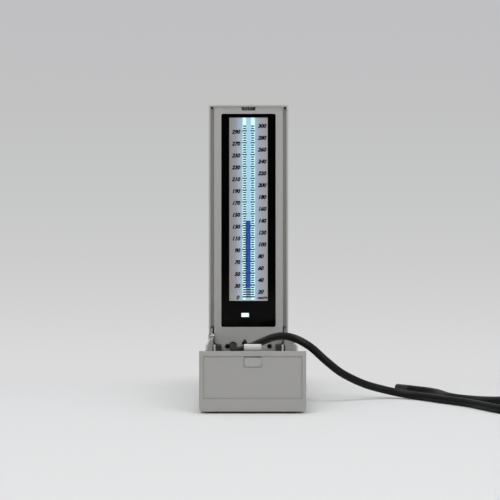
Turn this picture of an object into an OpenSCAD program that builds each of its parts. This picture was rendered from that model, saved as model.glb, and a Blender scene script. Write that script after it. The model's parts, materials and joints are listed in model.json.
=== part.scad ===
// Desk sphygmomanometer with a display column in its folding lid, shown open.
// Depths (y) are measured here from the base's front face; seated() centres the finished model.

/* [Base] */
// Width of the base and of the lid
base_w = 100; // [90:1:120]
// Length of the base, front to rear
base_l = 325; // [300:1:360]
// Height of the base's front wall above the table
front_h = 58.3; // [57.5:0.1:58.4]
// Height of the base's side walls above the table
side_h = 48; // [40:0.5:50]
// Wall of the base
base_wall = 2.2; // [1.8:0.1:2.4]
// Height that the feet stand out below the base
foot_h = 2; // [1.5:0.1:3]
// Radius of the rubber feet
foot_r = 6; // [5:0.5:8]
// Radius of the base's lower edges
base_edge_r = 3; // [1:0.5:4]
// Depth of the framed panel in the front wall
frame_cut = 0.8; // [0.4:0.1:1]

/* [Storage tray] */
// Height of the tray's side lips above the table
lip_h = 59.8; // [58.5:0.1:61]
// Depth at which the side lips begin
lip_start = 59; // [40:1:80]
// Wall of the tray
tray_wall = 1.8; // [1.4:0.1:2]
// Height of the tray's rear partition above the table
partition_h = 34; // [28:0.5:35]

/* [Lid] */
// Depth of the lid shell, rim to back
lid_d = 22; // [20:0.5:24]
// Wall of the lid shell
lid_wall = 2.2; // [1.8:0.1:2.4]
// Radius of the lid's back edges
lid_edge_r = 4; // [2:0.5:5]
// Gap between the meter's panel and the lid's side wall
panel_gap = 4.4; // [4.2:0.1:6]
// Thickness of the meter's panel
panel_t = 2; // [1.6:0.1:2.2]

/* [Window and display] */
// Width of the black window frame
frame_w = 68.5; // [64:0.5:72]
// Panel left above the black window frame
frame_margin = 6.6; // [5.2:0.1:12]
// Width of the clear opening
opening_w = 48.3; // [44:0.1:50]
// Black border above the clear opening
opening_margin = 4.5; // [4.2:0.1:8]

/* [Hinge] */
// Distance of the hinge axis from the base's rear face
hinge_inset = 33; // [29:1:45]
// Height of the hinge axis
hinge_z = 55.5; // [55.2:0.1:55.6]
// Radius of the hinge pins
hinge_pin_r = 2; // [1.5:0.1:2.2]
// Running clearance of the hinge pins, on the radius
hinge_fit = 0.05; // [0.02:0.01:0.1]

/* [Latch] */
// Width of the push button
button_w = 14.8; // [12:0.1:15.5]
// Width of the latch hook
hook_w = 16.2; // [14:0.1:17]
// Height of the hook's top above the table
hook_h = 64.6; // [62:0.1:65]
// Radius of the latch pin
latch_pin_r = 1.25; // [1:0.05:1.5]

/* [Battery] */
// Radius of an AA cell
cell_r = 7.1; // [6.9:0.05:7.2]
// Height of the battery door
door_h = 37.6; // [36:0.2:38]

/* [Hose] */
// Outer diameter of the hose
hose_d = 8.2; // [7:0.1:8.4]
// Mid-turn radius of the coil
coil_r = 44; // [42:0.5:46]

/* [Hidden] */

grey = "#9a9a97";
pale_grey = "#a5a4a0";
black = "#141414";
steel = "#b9bbbd";
far = 400;
arc_steps = 6;
running_gap = 0.3;
seat_gap = 0.1;

half_w = base_w / 2;
hinge_y = base_l - hinge_inset;
floor_z = foot_h + 2.4;
step_down_y = 4;
corner_y = hinge_y - 14;
corner_wall = 1.5;
corner_h = hinge_z + 2.7;
rear_wall_y = base_l - base_wall;

rim_y = hinge_y + 3;
back_y = rim_y + lid_d;
inner_back_y = back_y - 2.6;
lid_foot_z = hinge_z + 3;
lid_top = hinge_z + hinge_y - 0.5;
tail_r = 29.5;
tail_half_w = half_w - corner_wall - running_gap;
tail_wall = 1.4;
tail_inner = tail_half_w - tail_wall;

panel_half_w = half_w - lid_wall - panel_gap;
panel_y = rim_y + 1.2;
panel_back = panel_y + panel_t;
panel_low = 45.5;
panel_top = lid_top - 4.4;
tongue_half_w = panel_half_w - 9.4;
tongue_low = 30;
skirt_d = 6;
skirt_wall = 1.6;

window_low = 67.5;
frame_h = panel_top - frame_margin - window_low;
opening_low = window_low + 33;
opening_h = frame_h - 33 - opening_margin;
opening_top = opening_low + opening_h;
lens_lip = 1.8;
lens_lip_top = 1;
window_r = 2.5;
rebate_d = 1.4;
frame_y = panel_y - 0.2;
lens_y = panel_y + 1.2;
lens_t = 1.5;
lcd_y = lens_y + lens_t + 0.2;
lcd_t = 2;
guide_t = 2.6;
board_y = lcd_y + lcd_t + guide_t + 1.6;
board_t = 1.6;
board_half_w = panel_half_w - 4.4;
board_low = 105;
board_high = lid_top - 22;
board_screw_in = 5.5;
board_screw_x = [board_screw_in - board_half_w, board_half_w - board_screw_in];
board_screw_z = [board_low + 7, board_high - 13];
boss_x = panel_half_w - 6.4;
boss_z = [window_low + 28.5, (board_high + 95) / 2, board_high - 3];

screw_x = 26.5;
screw_z = 43.3;
port_x = -19.5;
port_z = 44.4;
switch_x = -4.8;
switch_z = 47.2;
lever_up = 24;

bracket_x = panel_half_w + 0.7;
bracket_t = 1.2;
bracket_z = 20;
bracket_foot_x = bracket_x - 7.6;
bracket_screw_x = bracket_x - 5.1;
bracket_screw_y = [hinge_y - 6, hinge_y - 2];
leaf_x = tail_inner - bracket_t;
eye_r = 4.5;

latch_y = 5.4;
latch_z = 38;
// A shallow finger dish in the button
dish_r = 15.6;
dish_d = 0.3;
window_half_w = 8.9;
window_z0 = 43.2;
window_z1 = 53.2;
rib_y = 11.2;
spring_z = 47;

cell_l = 48.5;
cell_y = back_y - 9.8;
cell_mid_z = 79.5;
cell_pitch = 2 * cell_r + 1.6;
cell_z = [cell_mid_z - cell_pitch / 2, cell_mid_z + cell_pitch / 2];
tray_half_w = cell_l / 2 + 5.35;
tray_wall_x = tray_half_w - 1.3;
tray_z = [cell_z[0] - cell_r - 3.1, cell_z[1] + cell_r + 1.7];
door_low = 60.9;
door_axis = [back_y - 1.4, 62.2];
door_t = 1.8;
trunnion_r = 0.8;

foot_x = half_w - 14;
foot_y = [16, base_l - 16];

port_end = panel_back + 7.8;
collar_front = panel_y - 13.2;
collar_r = 4.6;
collar_edge_r = 1;
coil_c = [half_w + 250, 16];
coil_turns = 1.5;
coil_rise = 8.8;
coil_pull_in = 3;
table_z = hose_d / 2;

// The hose's route inside the base as x, a share of the way from the lip to the port, and height
inner_route = [[-19.5, 1, 44.4], [-19.5, 0.911, 43.4], [-18.5, 0.804, 42], [-15.5, 0.686, 42.2],
  [-10.4, 0.564, 44.6], [-3, 0.441, 48.5], [5.5, 0.318, 53.4], [15, 0.199, 59], [25, 0.093, 63.9]];
// Over the lip and down to the table and the coil, x measured from the base's side
lip_route = [[-14, 115.2, lip_h + 6.2], [-1.6, 103.7, lip_h + 3.4]];
outer_route = [[12.3, 96.3, 55.3], [26.8, 94, 42.3], [41.8, 97.5, 30.2], [57.1, 104.3, 21.5],
  [72.1, 110.8, 14.9], [87, 114.7, 10.4], [100.7, 114.4, 7.2], [112.8, 110.4, 5.1], [123.5, 103.2, 4.2],
  [132.6, 92.1, 4.1], [141, 78.2, 4.1], [150, 65.8, 4.1], [158.6, 54, 4.1], [165.6, 42, 4.1],
  [170.8, 28.5, 4.1], [175.6, 15, 4.1], [181.5, 1.8, 4.1], [190.2, -10.9, 4.1], [202.4, -21, 4.1],
  [218, -27, 4.1], [234, -28, 4.1], [250, -28, 4.1]];
lip_cross_y = 114.5;
function beside(p) = [for (q = p) [q[0] + half_w, q[1], q[2]]];
run_points = concat(
  [for (q = inner_route) [q[0], lip_cross_y + q[1] * (collar_front - lip_cross_y), q[2]]],
  beside(lip_route), beside(outer_route));
// The hose's route from the coil back to its far end, x measured from the base's side
tail_points = beside([[250, 60, 12.9], [236, 60, 12.2], [222, 60.5, 9.2], [210, 61, 6], [198, 62.5, 4.4],
  [183.5, 66.5, 4.1], [171, 74.5, 4.1], [161.5, 85.5, 4.1], [156, 98.5, 4.1], [153.8, 112, 4.1],
  [152.3, 125.5, 4.1], [149, 138.2, 4.1], [143.2, 149.6, 4.1], [135.6, 159.8, 4.1], [127.7, 169.7, 4.1]]);
connector_l = 18;
connector_bore_r = 2.6;

// Points along an arc about c
function arc(c, r, a0, a1, n = arc_steps) =
  [for (i = [0:n]) let (a = a0 + (a1 - a0) * i / n) [c[0] + r * cos(a), c[1] + r * sin(a)]];

// Rectangle with a radius for its lower and for its upper corners
function round_rect(x0, z0, x1, z1, low_r, high_r) = concat(
  arc([x1 - low_r, z0 + low_r], low_r, -90, 0), arc([x1 - high_r, z1 - high_r], high_r, 0, 90),
  arc([x0 + high_r, z1 - high_r], high_r, 90, 180), arc([x0 + low_r, z0 + low_r], low_r, 180, 270));

// A point of a smooth curve through four neighbours, t from the second to the third
function between(a, b, c, d, t) =
  0.5 * ((2 * b) + (c - a) * t + (2 * a - 5 * b + 4 * c - d) * t * t + (3 * b - a - 3 * c + d) * t * t * t);
function smooth(p, steps) = let (n = len(p)) concat(
  [for (i = [0:n - 2], k = [0:steps - 1])
    between(p[max(i - 1, 0)], p[i], p[i + 1], p[min(i + 2, n - 1)], k / steps)], [p[n - 1]]);
function unit(v) = v / norm(v);
function along(p, i) = unit(p[min(i + 1, len(p) - 1)] - p[max(i - 1, 0)]);
function path_length(p, i = 0) = i >= len(p) - 1 ? 0 : norm(p[i + 1] - p[i]) + path_length(p, i + 1);

// The coil spirals in on the table, climbs over its middle half turn and spirals out on top
function coil_point(s) = let (
    turn = s * coil_turns,
    inwards = coil_pull_in * (1 - abs(2 * s - 1)),
    climb = min(max((turn - 0.5) / 0.5, 0), 1),
    height = table_z + coil_rise * climb * climb * (3 - 2 * climb),
    a = -90 + 360 * turn)
  [coil_c[0] + (coil_r - inwards) * cos(a), coil_c[1] + (coil_r - inwards) * sin(a), height];
coil_rings = 36;
coil_points = [for (i = [0:coil_rings]) coil_point(i / coil_rings)];
coil_gap = min([for (i = [0:coil_rings], j = [0:coil_rings]) if (j - i > 12)
  norm(coil_points[i] - coil_points[j]) - hose_d]);
run_smooth = smooth(run_points, 2);
tail_smooth = smooth(tail_points, 2);
echo(coil_gap = coil_gap);
echo(hose_length = path_length(smooth(run_points, 6)) + path_length(coil_points)
  + path_length(smooth(tail_points, 6)) + connector_l);

// Faces of a tube of rings with flat ends, as triangles
module tube(p, r, sides, first = undef, last = undef) {
  n = len(p);
  rings = [for (i = [0:n - 1])
    let (d = i == 0 && first != undef ? first : i == n - 1 && last != undef ? last : along(p, i),
      u = unit(cross(d, abs(d[2]) > 0.9 ? [1, 0, 0] : [0, 0, 1])), w = cross(u, d))
    for (k = [0:sides - 1]) let (a = 360 * (k + 0.5) / sides) p[i] + r * (cos(a) * u + sin(a) * w)];
  faces = concat(
    [for (i = [0:n - 2], k = [0:sides - 1]) let (a = i * sides + k, b = i * sides + (k + 1) % sides)
      each [[a, b, a + sides], [b, b + sides, a + sides]]],
    [for (k = [1:sides - 2]) [0, k + 1, k]],
    [for (k = [1:sides - 2]) let (e = (n - 1) * sides) [e, e + k, e + k + 1]]);
  polyhedron(points = rings, faces = [for (f = faces) [f[2], f[1], f[0]]], convexity = 10);
}

module seated() { translate([0, -base_l / 2, 0]) children(); }
module block(a, b) { translate(a) cube(b - a); }
// A flat outline in x and z, given thickness from depth y0 to y1
module slab(outline, y0, y1) {
  translate([0, y1, 0]) rotate([90, 0, 0]) linear_extrude(y1 - y0) polygon(outline);
}
// A side outline in depth and z, given thickness from x0 to x1
module side(outline, x0, x1) {
  translate([x0, 0, 0]) rotate([90, 0, 90]) linear_extrude(x1 - x0) polygon(outline);
}
// Round bars along each axis
module bar_x(c, r, x0, x1, n = 32) {
  translate([x0, c[0], c[1]]) rotate([0, 90, 0]) cylinder(r = r, h = x1 - x0, $fn = n);
}
module bar_y(c, r, y0, y1, n = 32) {
  translate([c[0], y1, c[1]]) rotate([90, 0, 0]) cylinder(r = r, h = y1 - y0, $fn = n);
}
module bar_z(c, r, z0, z1, n = 32) {
  translate([c[0], c[1], z0]) cylinder(r = r, h = z1 - z0, $fn = n);
}
module both_sides() { children(); mirror([1, 0, 0]) children(); }

// The base's outline from the side: tall front wall, low sides, tall rear corners
base_side = [[0, foot_h], [base_l, foot_h], [base_l, corner_h], [corner_y, corner_h], [corner_y, side_h],
  [step_down_y + 5, side_h], [step_down_y, front_h], [0, front_h]];

module base_body() {
  intersection() {
    side(base_side, -half_w, half_w);
    slab(round_rect(-half_w, foot_h, half_w, far, base_edge_r, 1), -1, base_l + 1);
    translate([0, 0, -1]) linear_extrude(far) polygon(round_rect(-half_w, 0, half_w, base_l, 1.5, 3));
  }
}

module base_shell() {
  cavity_half_w = half_w - base_wall;
  color(grey) seated() difference() {
    union() {
      difference() {
        base_body();
        translate([0, 0, floor_z])
          linear_extrude(far)
            polygon(round_rect(-cavity_half_w, base_wall, cavity_half_w, rear_wall_y, 1, 1.5));
        block([-half_w + corner_wall, corner_y + corner_wall, floor_z + 16],
          [half_w - corner_wall, rear_wall_y, far]);
      }
      for (x = [-foot_x, foot_x], y = foot_y) bar_z([x, y], 4, floor_z - 1, 11);
      both_sides() {
        block([window_half_w + 0.6, base_wall - 0.2, 32], [window_half_w + 3.4, latch_y + 3, 42.6]);
        block([bracket_foot_x, hinge_y - 9, floor_z - 1], [bracket_x - seat_gap, hinge_y + 1, bracket_z]);
        for (y = floor_rib_y) block([20, y, floor_z - 1], [21.6, y + floor_rib_l, tray_floor_z]);
      }
      block([-7, rib_y, floor_z - 1], [7, rib_y + 1.4, 52]);
      bar_y([0, spring_z], 1.5, rib_y - 2.6, rib_y + 0.5, 16);
    }
    slab(round_rect(-half_w + 3.6, 13.8, half_w - 3.6, front_h - 4.7, 1.5, 1.5), -1, frame_cut);
    block([-window_half_w, -1, window_z0], [window_half_w, base_wall + 0.01, window_z1]);
    both_sides() bar_x([latch_y, latch_z], latch_pin_r, window_half_w - 1, window_half_w + 2.4, 24);
    for (x = [-foot_x, foot_x], y = foot_y) {
      bar_z([x, y], foot_r + seat_gap, 0, foot_h + 1);
      bar_z([x, y], 1.25, foot_h, 10, 24);
    }
    both_sides() for (y = bracket_screw_y) bar_z([bracket_screw_x, y], 1, bracket_z - 8, bracket_z + 1, 24);
  }
}

floor_rib_y = [for (k = [1:3]) k * hinge_y / 3.65];
floor_rib_l = 24;
tray_floor_z = floor_z + 2;
tray_front_y = rib_y + 1.4 + 1;
tray_rear_y = hinge_y - 4;
lip_outer = half_w - 4;
lip_inner = lip_outer - tray_wall;
post_x = bracket_x - 2.8;
buffer_x = post_x - 6.1;
buffer_front = tray_rear_y - 5;
shoulder_h = 46;
// Notch in the rear partition that the hose drops into as the lid folds
hose_notch_x = [-31, -8];
hose_notch_z = 13;

module storage_liner() {
  lip_side = [[tray_front_y, tray_floor_z], [buffer_front, tray_floor_z], [buffer_front, lip_h - 4.3],
    [hinge_y - 84, lip_h - 4.3], [hinge_y - 100, lip_h], [lip_start, lip_h], [lip_start, side_h - 2],
    [tray_front_y, side_h - 2]];
  color(pale_grey) seated() difference() {
    union() {
      both_sides() side(lip_side, lip_inner, lip_outer);
      block([-lip_outer, tray_front_y, tray_floor_z], [lip_outer, buffer_front, tray_floor_z + tray_wall]);
      block([-lip_outer, tray_front_y, tray_floor_z], [lip_outer, tray_front_y + tray_wall, side_h - 2]);
      block([-lip_outer, buffer_front - tray_wall, tray_floor_z], [lip_outer, buffer_front, partition_h]);
      both_sides()
        block([post_x, buffer_front - 0.1, bracket_z + 4], [bracket_x - 0.2, hinge_y - 2, shoulder_h - 0.2]);
    }
    block([hose_notch_x[0], buffer_front - 3, hose_notch_z], [hose_notch_x[1], hinge_y, partition_h + 1]);
    for (x = [-foot_x, foot_x]) bar_z([x, foot_y[0]], 4.4, 0, 12.5);
  }
}

module foot(x, y) {
  color(black) seated() difference() {
    bar_z([x, y], foot_r, 0, foot_h + 1);
    bar_z([x, y], 1.6, -1, far, 24);
    bar_z([x, y], 3.1, -1, 1.3, 24);
  }
}
module foot_front_left() { foot(-foot_x, foot_y[0]); }
module foot_front_right() { foot(foot_x, foot_y[0]); }
module foot_rear_left() { foot(-foot_x, foot_y[1]); }
module foot_rear_right() { foot(foot_x, foot_y[1]); }

// A pan-head screw along z, its head downwards
module screw_up(c, z, head_r, head_t, r, l) {
  bar_z(c, head_r, z - head_t, z, 24);
  bar_z(c, r, z - 0.1, z + l, 24);
}

module foot_screws() {
  color(steel) seated() for (x = [-foot_x, foot_x], y = foot_y) screw_up([x, y], 1.3, 2.9, 0.9, 1.25, 8.6);
}

module hinge_bracket() {
  difference() {
    union() {
      side(concat([[hinge_y - 8.5, bracket_z], [hinge_y - 8.5, bracket_z + 16], [hinge_y - 4.4, hinge_z - 1]],
        arc([hinge_y, hinge_z], eye_r, 170, 0, 8), [[hinge_y + 2, hinge_z - 6], [hinge_y + 1, bracket_z]]),
        bracket_x, bracket_x + bracket_t);
      block([bracket_foot_x, hinge_y - 8.5, bracket_z],
        [bracket_x + bracket_t, hinge_y + 1, bracket_z + bracket_t]);
    }
    bar_x([hinge_y, hinge_z], hinge_pin_r, 0, far);
    for (y = bracket_screw_y) bar_z([bracket_screw_x, y], 1.1, 0, bracket_z + 10, 24);
  }
}
module hinge_bracket_right() { color(steel) seated() hinge_bracket(); }
module hinge_bracket_left() { color(steel) seated() mirror([1, 0, 0]) hinge_bracket(); }

module hinge_pin() {
  bar_x([hinge_y, hinge_z], 3.2, bracket_x - 1, bracket_x);
  bar_x([hinge_y, hinge_z], hinge_pin_r, bracket_x - 0.5, leaf_x + bracket_t + 0.6);
  bar_x([hinge_y, hinge_z], 2.6, leaf_x + bracket_t + seat_gap, leaf_x + bracket_t + 0.8);
}
module hinge_pin_right() { color(steel) seated() hinge_pin(); }
module hinge_pin_left() { color(steel) seated() mirror([1, 0, 0]) hinge_pin(); }

module bracket_screws() {
  seat_z = bracket_z + bracket_t;
  color(steel) seated() both_sides() for (y = bracket_screw_y) {
    bar_z([bracket_screw_x, y], 1.8, seat_z, seat_z + 1, 24);
    bar_z([bracket_screw_x, y], 1, bracket_z - 7.5, seat_z + 0.5, 24);
  }
}

tail_plate_y = panel_back + 0.2;
module stop_buffer() {
  difference() {
    block([buffer_x, buffer_front, 30.5], [post_x - seat_gap, tail_plate_y - running_gap, shoulder_h - 1]);
    for (z = [34, 38, 42])
      block([buffer_x - 0.2, tail_plate_y - 1.1, z - 0.6], [buffer_x + 0.8, far, z + 0.6]);
  }
}
module stop_buffer_right() { color(black) seated() stop_buffer(); }
module stop_buffer_left() { color(black) seated() mirror([1, 0, 0]) stop_buffer(); }

module latch_pin() {
  color(steel) seated() bar_x([latch_y, latch_z], latch_pin_r, -window_half_w - 2.4, window_half_w + 2.4, 24);
}

spring_back = rib_y;
lever_front = base_wall + 0.9;
lever_t = 2;
spring_front = lever_front + lever_t;
module latch_spring() {
  coils = 4;
  rings = coils * 10;
  r = 2.4;
  p = [for (i = [0:rings]) let (s = i / rings, a = 360 * coils * s)
    [r * cos(a), spring_front + 0.4 + (spring_back - spring_front - 0.8) * s, spring_z + r * sin(a)]];
  color(steel) seated() tube(p, 0.25, 6);
}

// Push button, lever and hook, with a barrel round the pin
module latch_lever() {
  hook_d = 2.4;
  hook_rise = 4.6;
  color(grey) seated() difference() {
    union() {
      slab(round_rect(-hook_w / 2, latch_z, hook_w / 2, hook_h - 5, 0.5, 0.5), lever_front, spring_front);
      bar_x([latch_y, latch_z], 2.8, -hook_w / 2, hook_w / 2);
      both_sides() side([[lever_front, latch_z], [latch_y + 2, latch_z], [spring_front, hook_h - 7]],
        hook_w / 2 - 1.6, hook_w / 2);
      slab(round_rect(-button_w / 2, window_z0 + 0.7, button_w / 2, window_z1 - 1, 1, 1),
        0.3, lever_front + 0.1);
      side(concat([[lever_front, hook_h - 6]], [for (a = [0:15:75])
        [lever_front + hook_d * (1 - cos(a)), hook_h - hook_rise * (1 - sin(a))]],
        [[lever_front + hook_d, hook_h], [lever_front + hook_d, hook_h - 6]]), -hook_w / 2, hook_w / 2);
    }
    bar_x([latch_y, latch_z], latch_pin_r + hinge_fit, -far, far, 24);
    bar_x([0.3 + dish_d - dish_r, (window_z0 + window_z1) / 2], dish_r,
      2 - button_w / 2, button_w / 2 - 2, 96);
  }
}

// Side outline of the lid above the hinge and of its rounded tail below
lid_side = concat([[rim_y, lid_top], [rim_y, lid_foot_z], [back_y, lid_foot_z]],
  arc([back_y - lid_edge_r, lid_top - lid_edge_r], lid_edge_r, 0, 90));
function tail_side(r, y1, y0) = concat(
  [[y0, lid_foot_z + 3], [y0, hinge_z - sqrt(r * r - pow(y0 - hinge_y, 2))]],
  arc([hinge_y, hinge_z], r, -acos((y0 - hinge_y) / r), -acos((y1 - hinge_y) / r), 12),
  [[y1, lid_foot_z + 3]]);

door_cut_x = tray_half_w + 0.4;
door_inner_x = tray_half_w - 1.2;
trunnion_x = tray_half_w + 1.7;
module lid_shell() {
  body_outline = round_rect(-half_w, rim_y - 1, half_w, back_y, 1, lid_edge_r);
  plate = [[-tail_inner - 0.2, 27.5], [tail_inner + 0.2, 27.5], [tail_inner + 0.2, 48], [24.1, 48],
    [24.1, 37], [-24.1, 37], [-24.1, 48], [-tail_inner - 0.2, 48]];
  color(grey) seated() difference() {
    union() {
      difference() {
        union() {
          intersection() {
            side(lid_side, -half_w, half_w);
            linear_extrude(far) polygon(body_outline);
            slab(round_rect(-half_w, lid_foot_z, half_w, lid_top, 1, 2), 0, far);
          }
          side(tail_side(tail_r, back_y, rim_y), -tail_half_w, tail_half_w);
        }
        block([-half_w + lid_wall, 0, lid_foot_z + 2], [half_w - lid_wall, inner_back_y, lid_top - lid_wall]);
        side(tail_side(tail_r - 2, inner_back_y, hinge_y - 1), -tail_inner, tail_inner);
        block([-tail_inner, 0, lid_foot_z - 1], [tail_inner, inner_back_y, lid_foot_z + 5]);
      }
      slab(plate, tail_plate_y, tail_plate_y + 2);
      for (x = [-screw_x, screw_x]) bar_y([x, screw_z], 3.2, tail_plate_y, tail_plate_y + 9.6);
      both_sides() for (k = [0:3]) {
        rib_z = 70 + k * (lid_top - 107) / 3;
        block([panel_half_w - 2.2, inner_back_y - 6, rib_z],
          [panel_half_w - 0.6, inner_back_y + 0.5, rib_z + 10]);
      }
    }
    for (x = [-screw_x, screw_x]) bar_y([x, screw_z], 1.5, 0, tail_plate_y + 8.6, 24);
    block([-door_cut_x, back_y - door_t, door_low - 0.4], [door_cut_x, far, door_low + door_h + 0.3]);
    block([-door_inner_x, inner_back_y - 1, door_low - 0.4], [door_inner_x, far, door_low + door_h - 1.2]);
    bar_x(door_axis, trunnion_r + hinge_fit, -trunnion_x - 0.3, trunnion_x + 0.3, 24);
    slab(round_rect(-6, door_low + door_h - 1, 6, door_low + door_h + 3, 1, 1), back_y - 1, far);
    both_sides() for (z = [lid_foot_z + 4.5, 49])
      bar_x([rim_y + 6, z], 1, tail_inner - 1, tail_inner + 0.9, 16);
  }
}

function panel_outline(in) = round_rect(-panel_half_w + in, panel_low + in, panel_half_w - in, panel_top - in,
  5 - in, 1.8 - in);
module front_panel() {
  notch_half_w = hook_w / 2 + 0.35;
  color(grey) seated() difference() {
    union() {
      slab(panel_outline(0), panel_y, panel_back);
      slab(round_rect(-tongue_half_w, tongue_low, tongue_half_w, panel_low + 8, 2, 1), panel_y, panel_back);
      difference() {
        slab(panel_outline(0), panel_back - 0.1, panel_back + skirt_d);
        slab(panel_outline(skirt_wall), 0, far);
        block([-far, 0, 0], [far, far, panel_low + 12]);
      }
      for (x = [-boss_x, boss_x], z = boss_z) bar_y([x, z], 2.6, panel_back - 0.1, board_y, 24);
    }
    slab(round_rect(-frame_w / 2 - seat_gap, window_low - seat_gap, frame_w / 2 + seat_gap,
      window_low + frame_h + seat_gap, window_r, window_r), 0, panel_y + rebate_d);
    block([-frame_w / 2 + 3.2, 0, window_low + 3.2], [frame_w / 2 - 3.2, far, window_low + frame_h - 3.2]);
    for (x = [-screw_x, screw_x]) bar_y([x, screw_z], 1.6, 0, far, 24);
    bar_y([port_x, port_z], 3.1, 0, far);
    bar_y([switch_x, switch_z], 3.2, 0, far);
    block([-notch_half_w, 0, panel_top - 2.5], [notch_half_w, far, panel_top + 1]);
    for (x = [-boss_x, boss_x], z = boss_z) bar_y([x, z], 0.9, panel_back, far, 16);
  }
}

module window_frame() {
  collar = frame_w / 2 - 3.4;
  color(black) seated() difference() {
    union() {
      slab(round_rect(-frame_w / 2, window_low, frame_w / 2, window_low + frame_h, window_r, window_r),
        frame_y, panel_y + rebate_d);
      block([-collar, panel_y + 1, window_low + 3.4], [collar, lens_y + lens_t, window_low + frame_h - 3.4]);
    }
    slab(round_rect(-opening_w / 2, opening_low, opening_w / 2, opening_top, 0.6, 0.6), 0, far);
    block([-opening_w / 2 - lens_lip - 0.2, lens_y - seat_gap, opening_low - lens_lip - 0.2],
      [opening_w / 2 + lens_lip + 0.2, far, opening_top + lens_lip]);
    block([-9, 0, 80.1], [0.6, far, 85.1]);
    block([-collar + 2, lens_y, window_low + 5.4], [collar - 2, far, opening_low - 5]);
  }
}

module window_lens() {
  color([0.8, 0.9, 0.95, 0.3]) seated() block([-opening_w / 2 - lens_lip, lens_y, opening_low - lens_lip],
    [opening_w / 2 + lens_lip, lens_y + lens_t, opening_top + lens_lip_top]);
}

module lcd_glass() {
  color("#a9cfe2") seated() block([-opening_w / 2 - 2.4, lcd_y, opening_low - 2.4],
    [opening_w / 2 + 2.4, lcd_y + lcd_t, opening_top + 1.4]);
}

module light_guide() {
  color("white") seated() block([-opening_w / 2 - 1.5, lcd_y + lcd_t, opening_low - 2],
    [opening_w / 2 + 1.5, lcd_y + lcd_t + guide_t, opening_top + 1]);
}

module lcd_holder() {
  h = opening_w / 2 + 4.4;
  ear = board_screw_x[1] + 2.5;
  z0 = opening_low - 4;
  z1 = opening_top + 3;
  color("ivory") seated() difference() {
    union() {
      block([-h, lens_y + lens_t, z0], [h, board_y, z1]);
      for (z = board_screw_z) block([-ear, board_y - 2.2, z - 3], [ear, board_y, z + 3]);
    }
    for (x = board_screw_x, z = board_screw_z) bar_y([x, z], 1, board_y - 3, board_y + 1, 16);
    block([-opening_w / 2 - 0.5, 0, opening_low - 0.5], [opening_w / 2 + 0.5, lcd_y + 0.1, opening_top]);
    block([-opening_w / 2 - 2.5, lcd_y, opening_low - 2.5],
      [opening_w / 2 + 2.5, lcd_y + lcd_t, opening_top + 1.5]);
    block([-opening_w / 2 - 1.6, lcd_y + lcd_t - 0.1, opening_low - 2.1],
      [opening_w / 2 + 1.6, lcd_y + lcd_t + guide_t, opening_top + 1.1]);
  }
}

module main_board() {
  color("#2c6b45") seated() difference() {
    union() {
      block([-board_half_w, board_y, board_low], [board_half_w, board_y + board_t, board_high]);
      block([-14, board_y + board_t - 0.1, 180], [0, board_y + board_t + 1.4, 194]);
      block([8, board_y + board_t - 0.1, 236], [20, board_y + board_t + 1.2, 246]);
      block([4, board_y + board_t - 0.1, 140], [9, board_y + board_t + 2.4, 150]);
    }
    for (x = board_screw_x, z = board_screw_z) bar_y([x, z], 1.1, 0, far, 16);
  }
}

module board_screws() {
  color(steel) seated() for (x = board_screw_x, z = board_screw_z) {
    bar_y([x, z], 1.9, board_y + board_t, board_y + board_t + 1, 16);
    bar_y([x, z], 1, board_y - 2, board_y + board_t + 0.5, 16);
  }
}

sensor_x = 6 - board_half_w;
nipple_y = board_y + board_t + 3.5;
module pressure_sensor() {
  color("#303236") seated() {
    block([sensor_x - 5.5, board_y + board_t, 122], [sensor_x + 5.5, board_y + board_t + 5, 134]);
    bar_z([sensor_x, nipple_y], 1.2, 116, 122.5, 24);
  }
}

tube_r = 2.2;
// The tube passes outside the battery tray
tube_x = -tray_half_w - 4.9;
module sensor_tube() {
  p = [[sensor_x, nipple_y, 119.5], [sensor_x, nipple_y, 114], [sensor_x, nipple_y, 104],
    [tube_x + 0.5, nipple_y, 92], [tube_x, nipple_y, 78], [tube_x + 0.5, nipple_y, 66],
    [tube_x + 2.5, port_end + 4.6, 57], [port_x - 9, port_end + 5.2, 50], [port_x - 4.5, port_end + 5.2, 46],
    [port_x - 1.1, port_end + 3.8, port_z + 0.2], [port_x, port_end, port_z]];
  color("#c9d6d2") seated() difference() {
    tube(smooth(p, 2), tube_r, 8, [0, 0, -1], [0, -1, 0]);
    bar_z([sensor_x, nipple_y], 1.2, 116, 120, 24);
  }
}

module air_port() {
  color(steel) seated() {
    bar_y([port_x, port_z], 3, collar_front + 3, port_end - 2);
    bar_y([port_x, port_z], 2.2, port_end - 2.1, port_end, 24);
    translate([port_x, panel_back + 2.4, port_z]) rotate([90, 30, 0]) cylinder(r = 4.2, h = 2.4, $fn = 6);
  }
}

module port_collar() {
  color("#2b2b2b") seated() difference() {
    translate([port_x, panel_y, port_z]) rotate([90, 0, 0]) rotate_extrude($fn = 40)
      polygon(concat([[0, 0], [collar_r, 0]],
        arc([collar_r - collar_edge_r, panel_y - collar_front - collar_edge_r], collar_edge_r, 0, 90, 4),
        [[0, panel_y - collar_front]]));
    bar_y([port_x, port_z], 3, collar_front + 3, far);
  }
}

module panel_screws() {
  color(black) seated() for (x = [-screw_x, screw_x]) difference() {
    union() {
      bar_y([x, screw_z], 2.3, panel_y - 1.2, panel_y, 32);
      bar_y([x, screw_z], 1.5, panel_y - 0.1, tail_plate_y + 7.6, 24);
    }
    block([x - 1.6, 0, screw_z - 0.35], [x + 1.6, panel_y - 0.7, screw_z + 0.35]);
    block([x - 0.35, 0, screw_z - 1.6], [x + 0.35, panel_y - 0.7, screw_z + 1.6]);
  }
}

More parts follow.
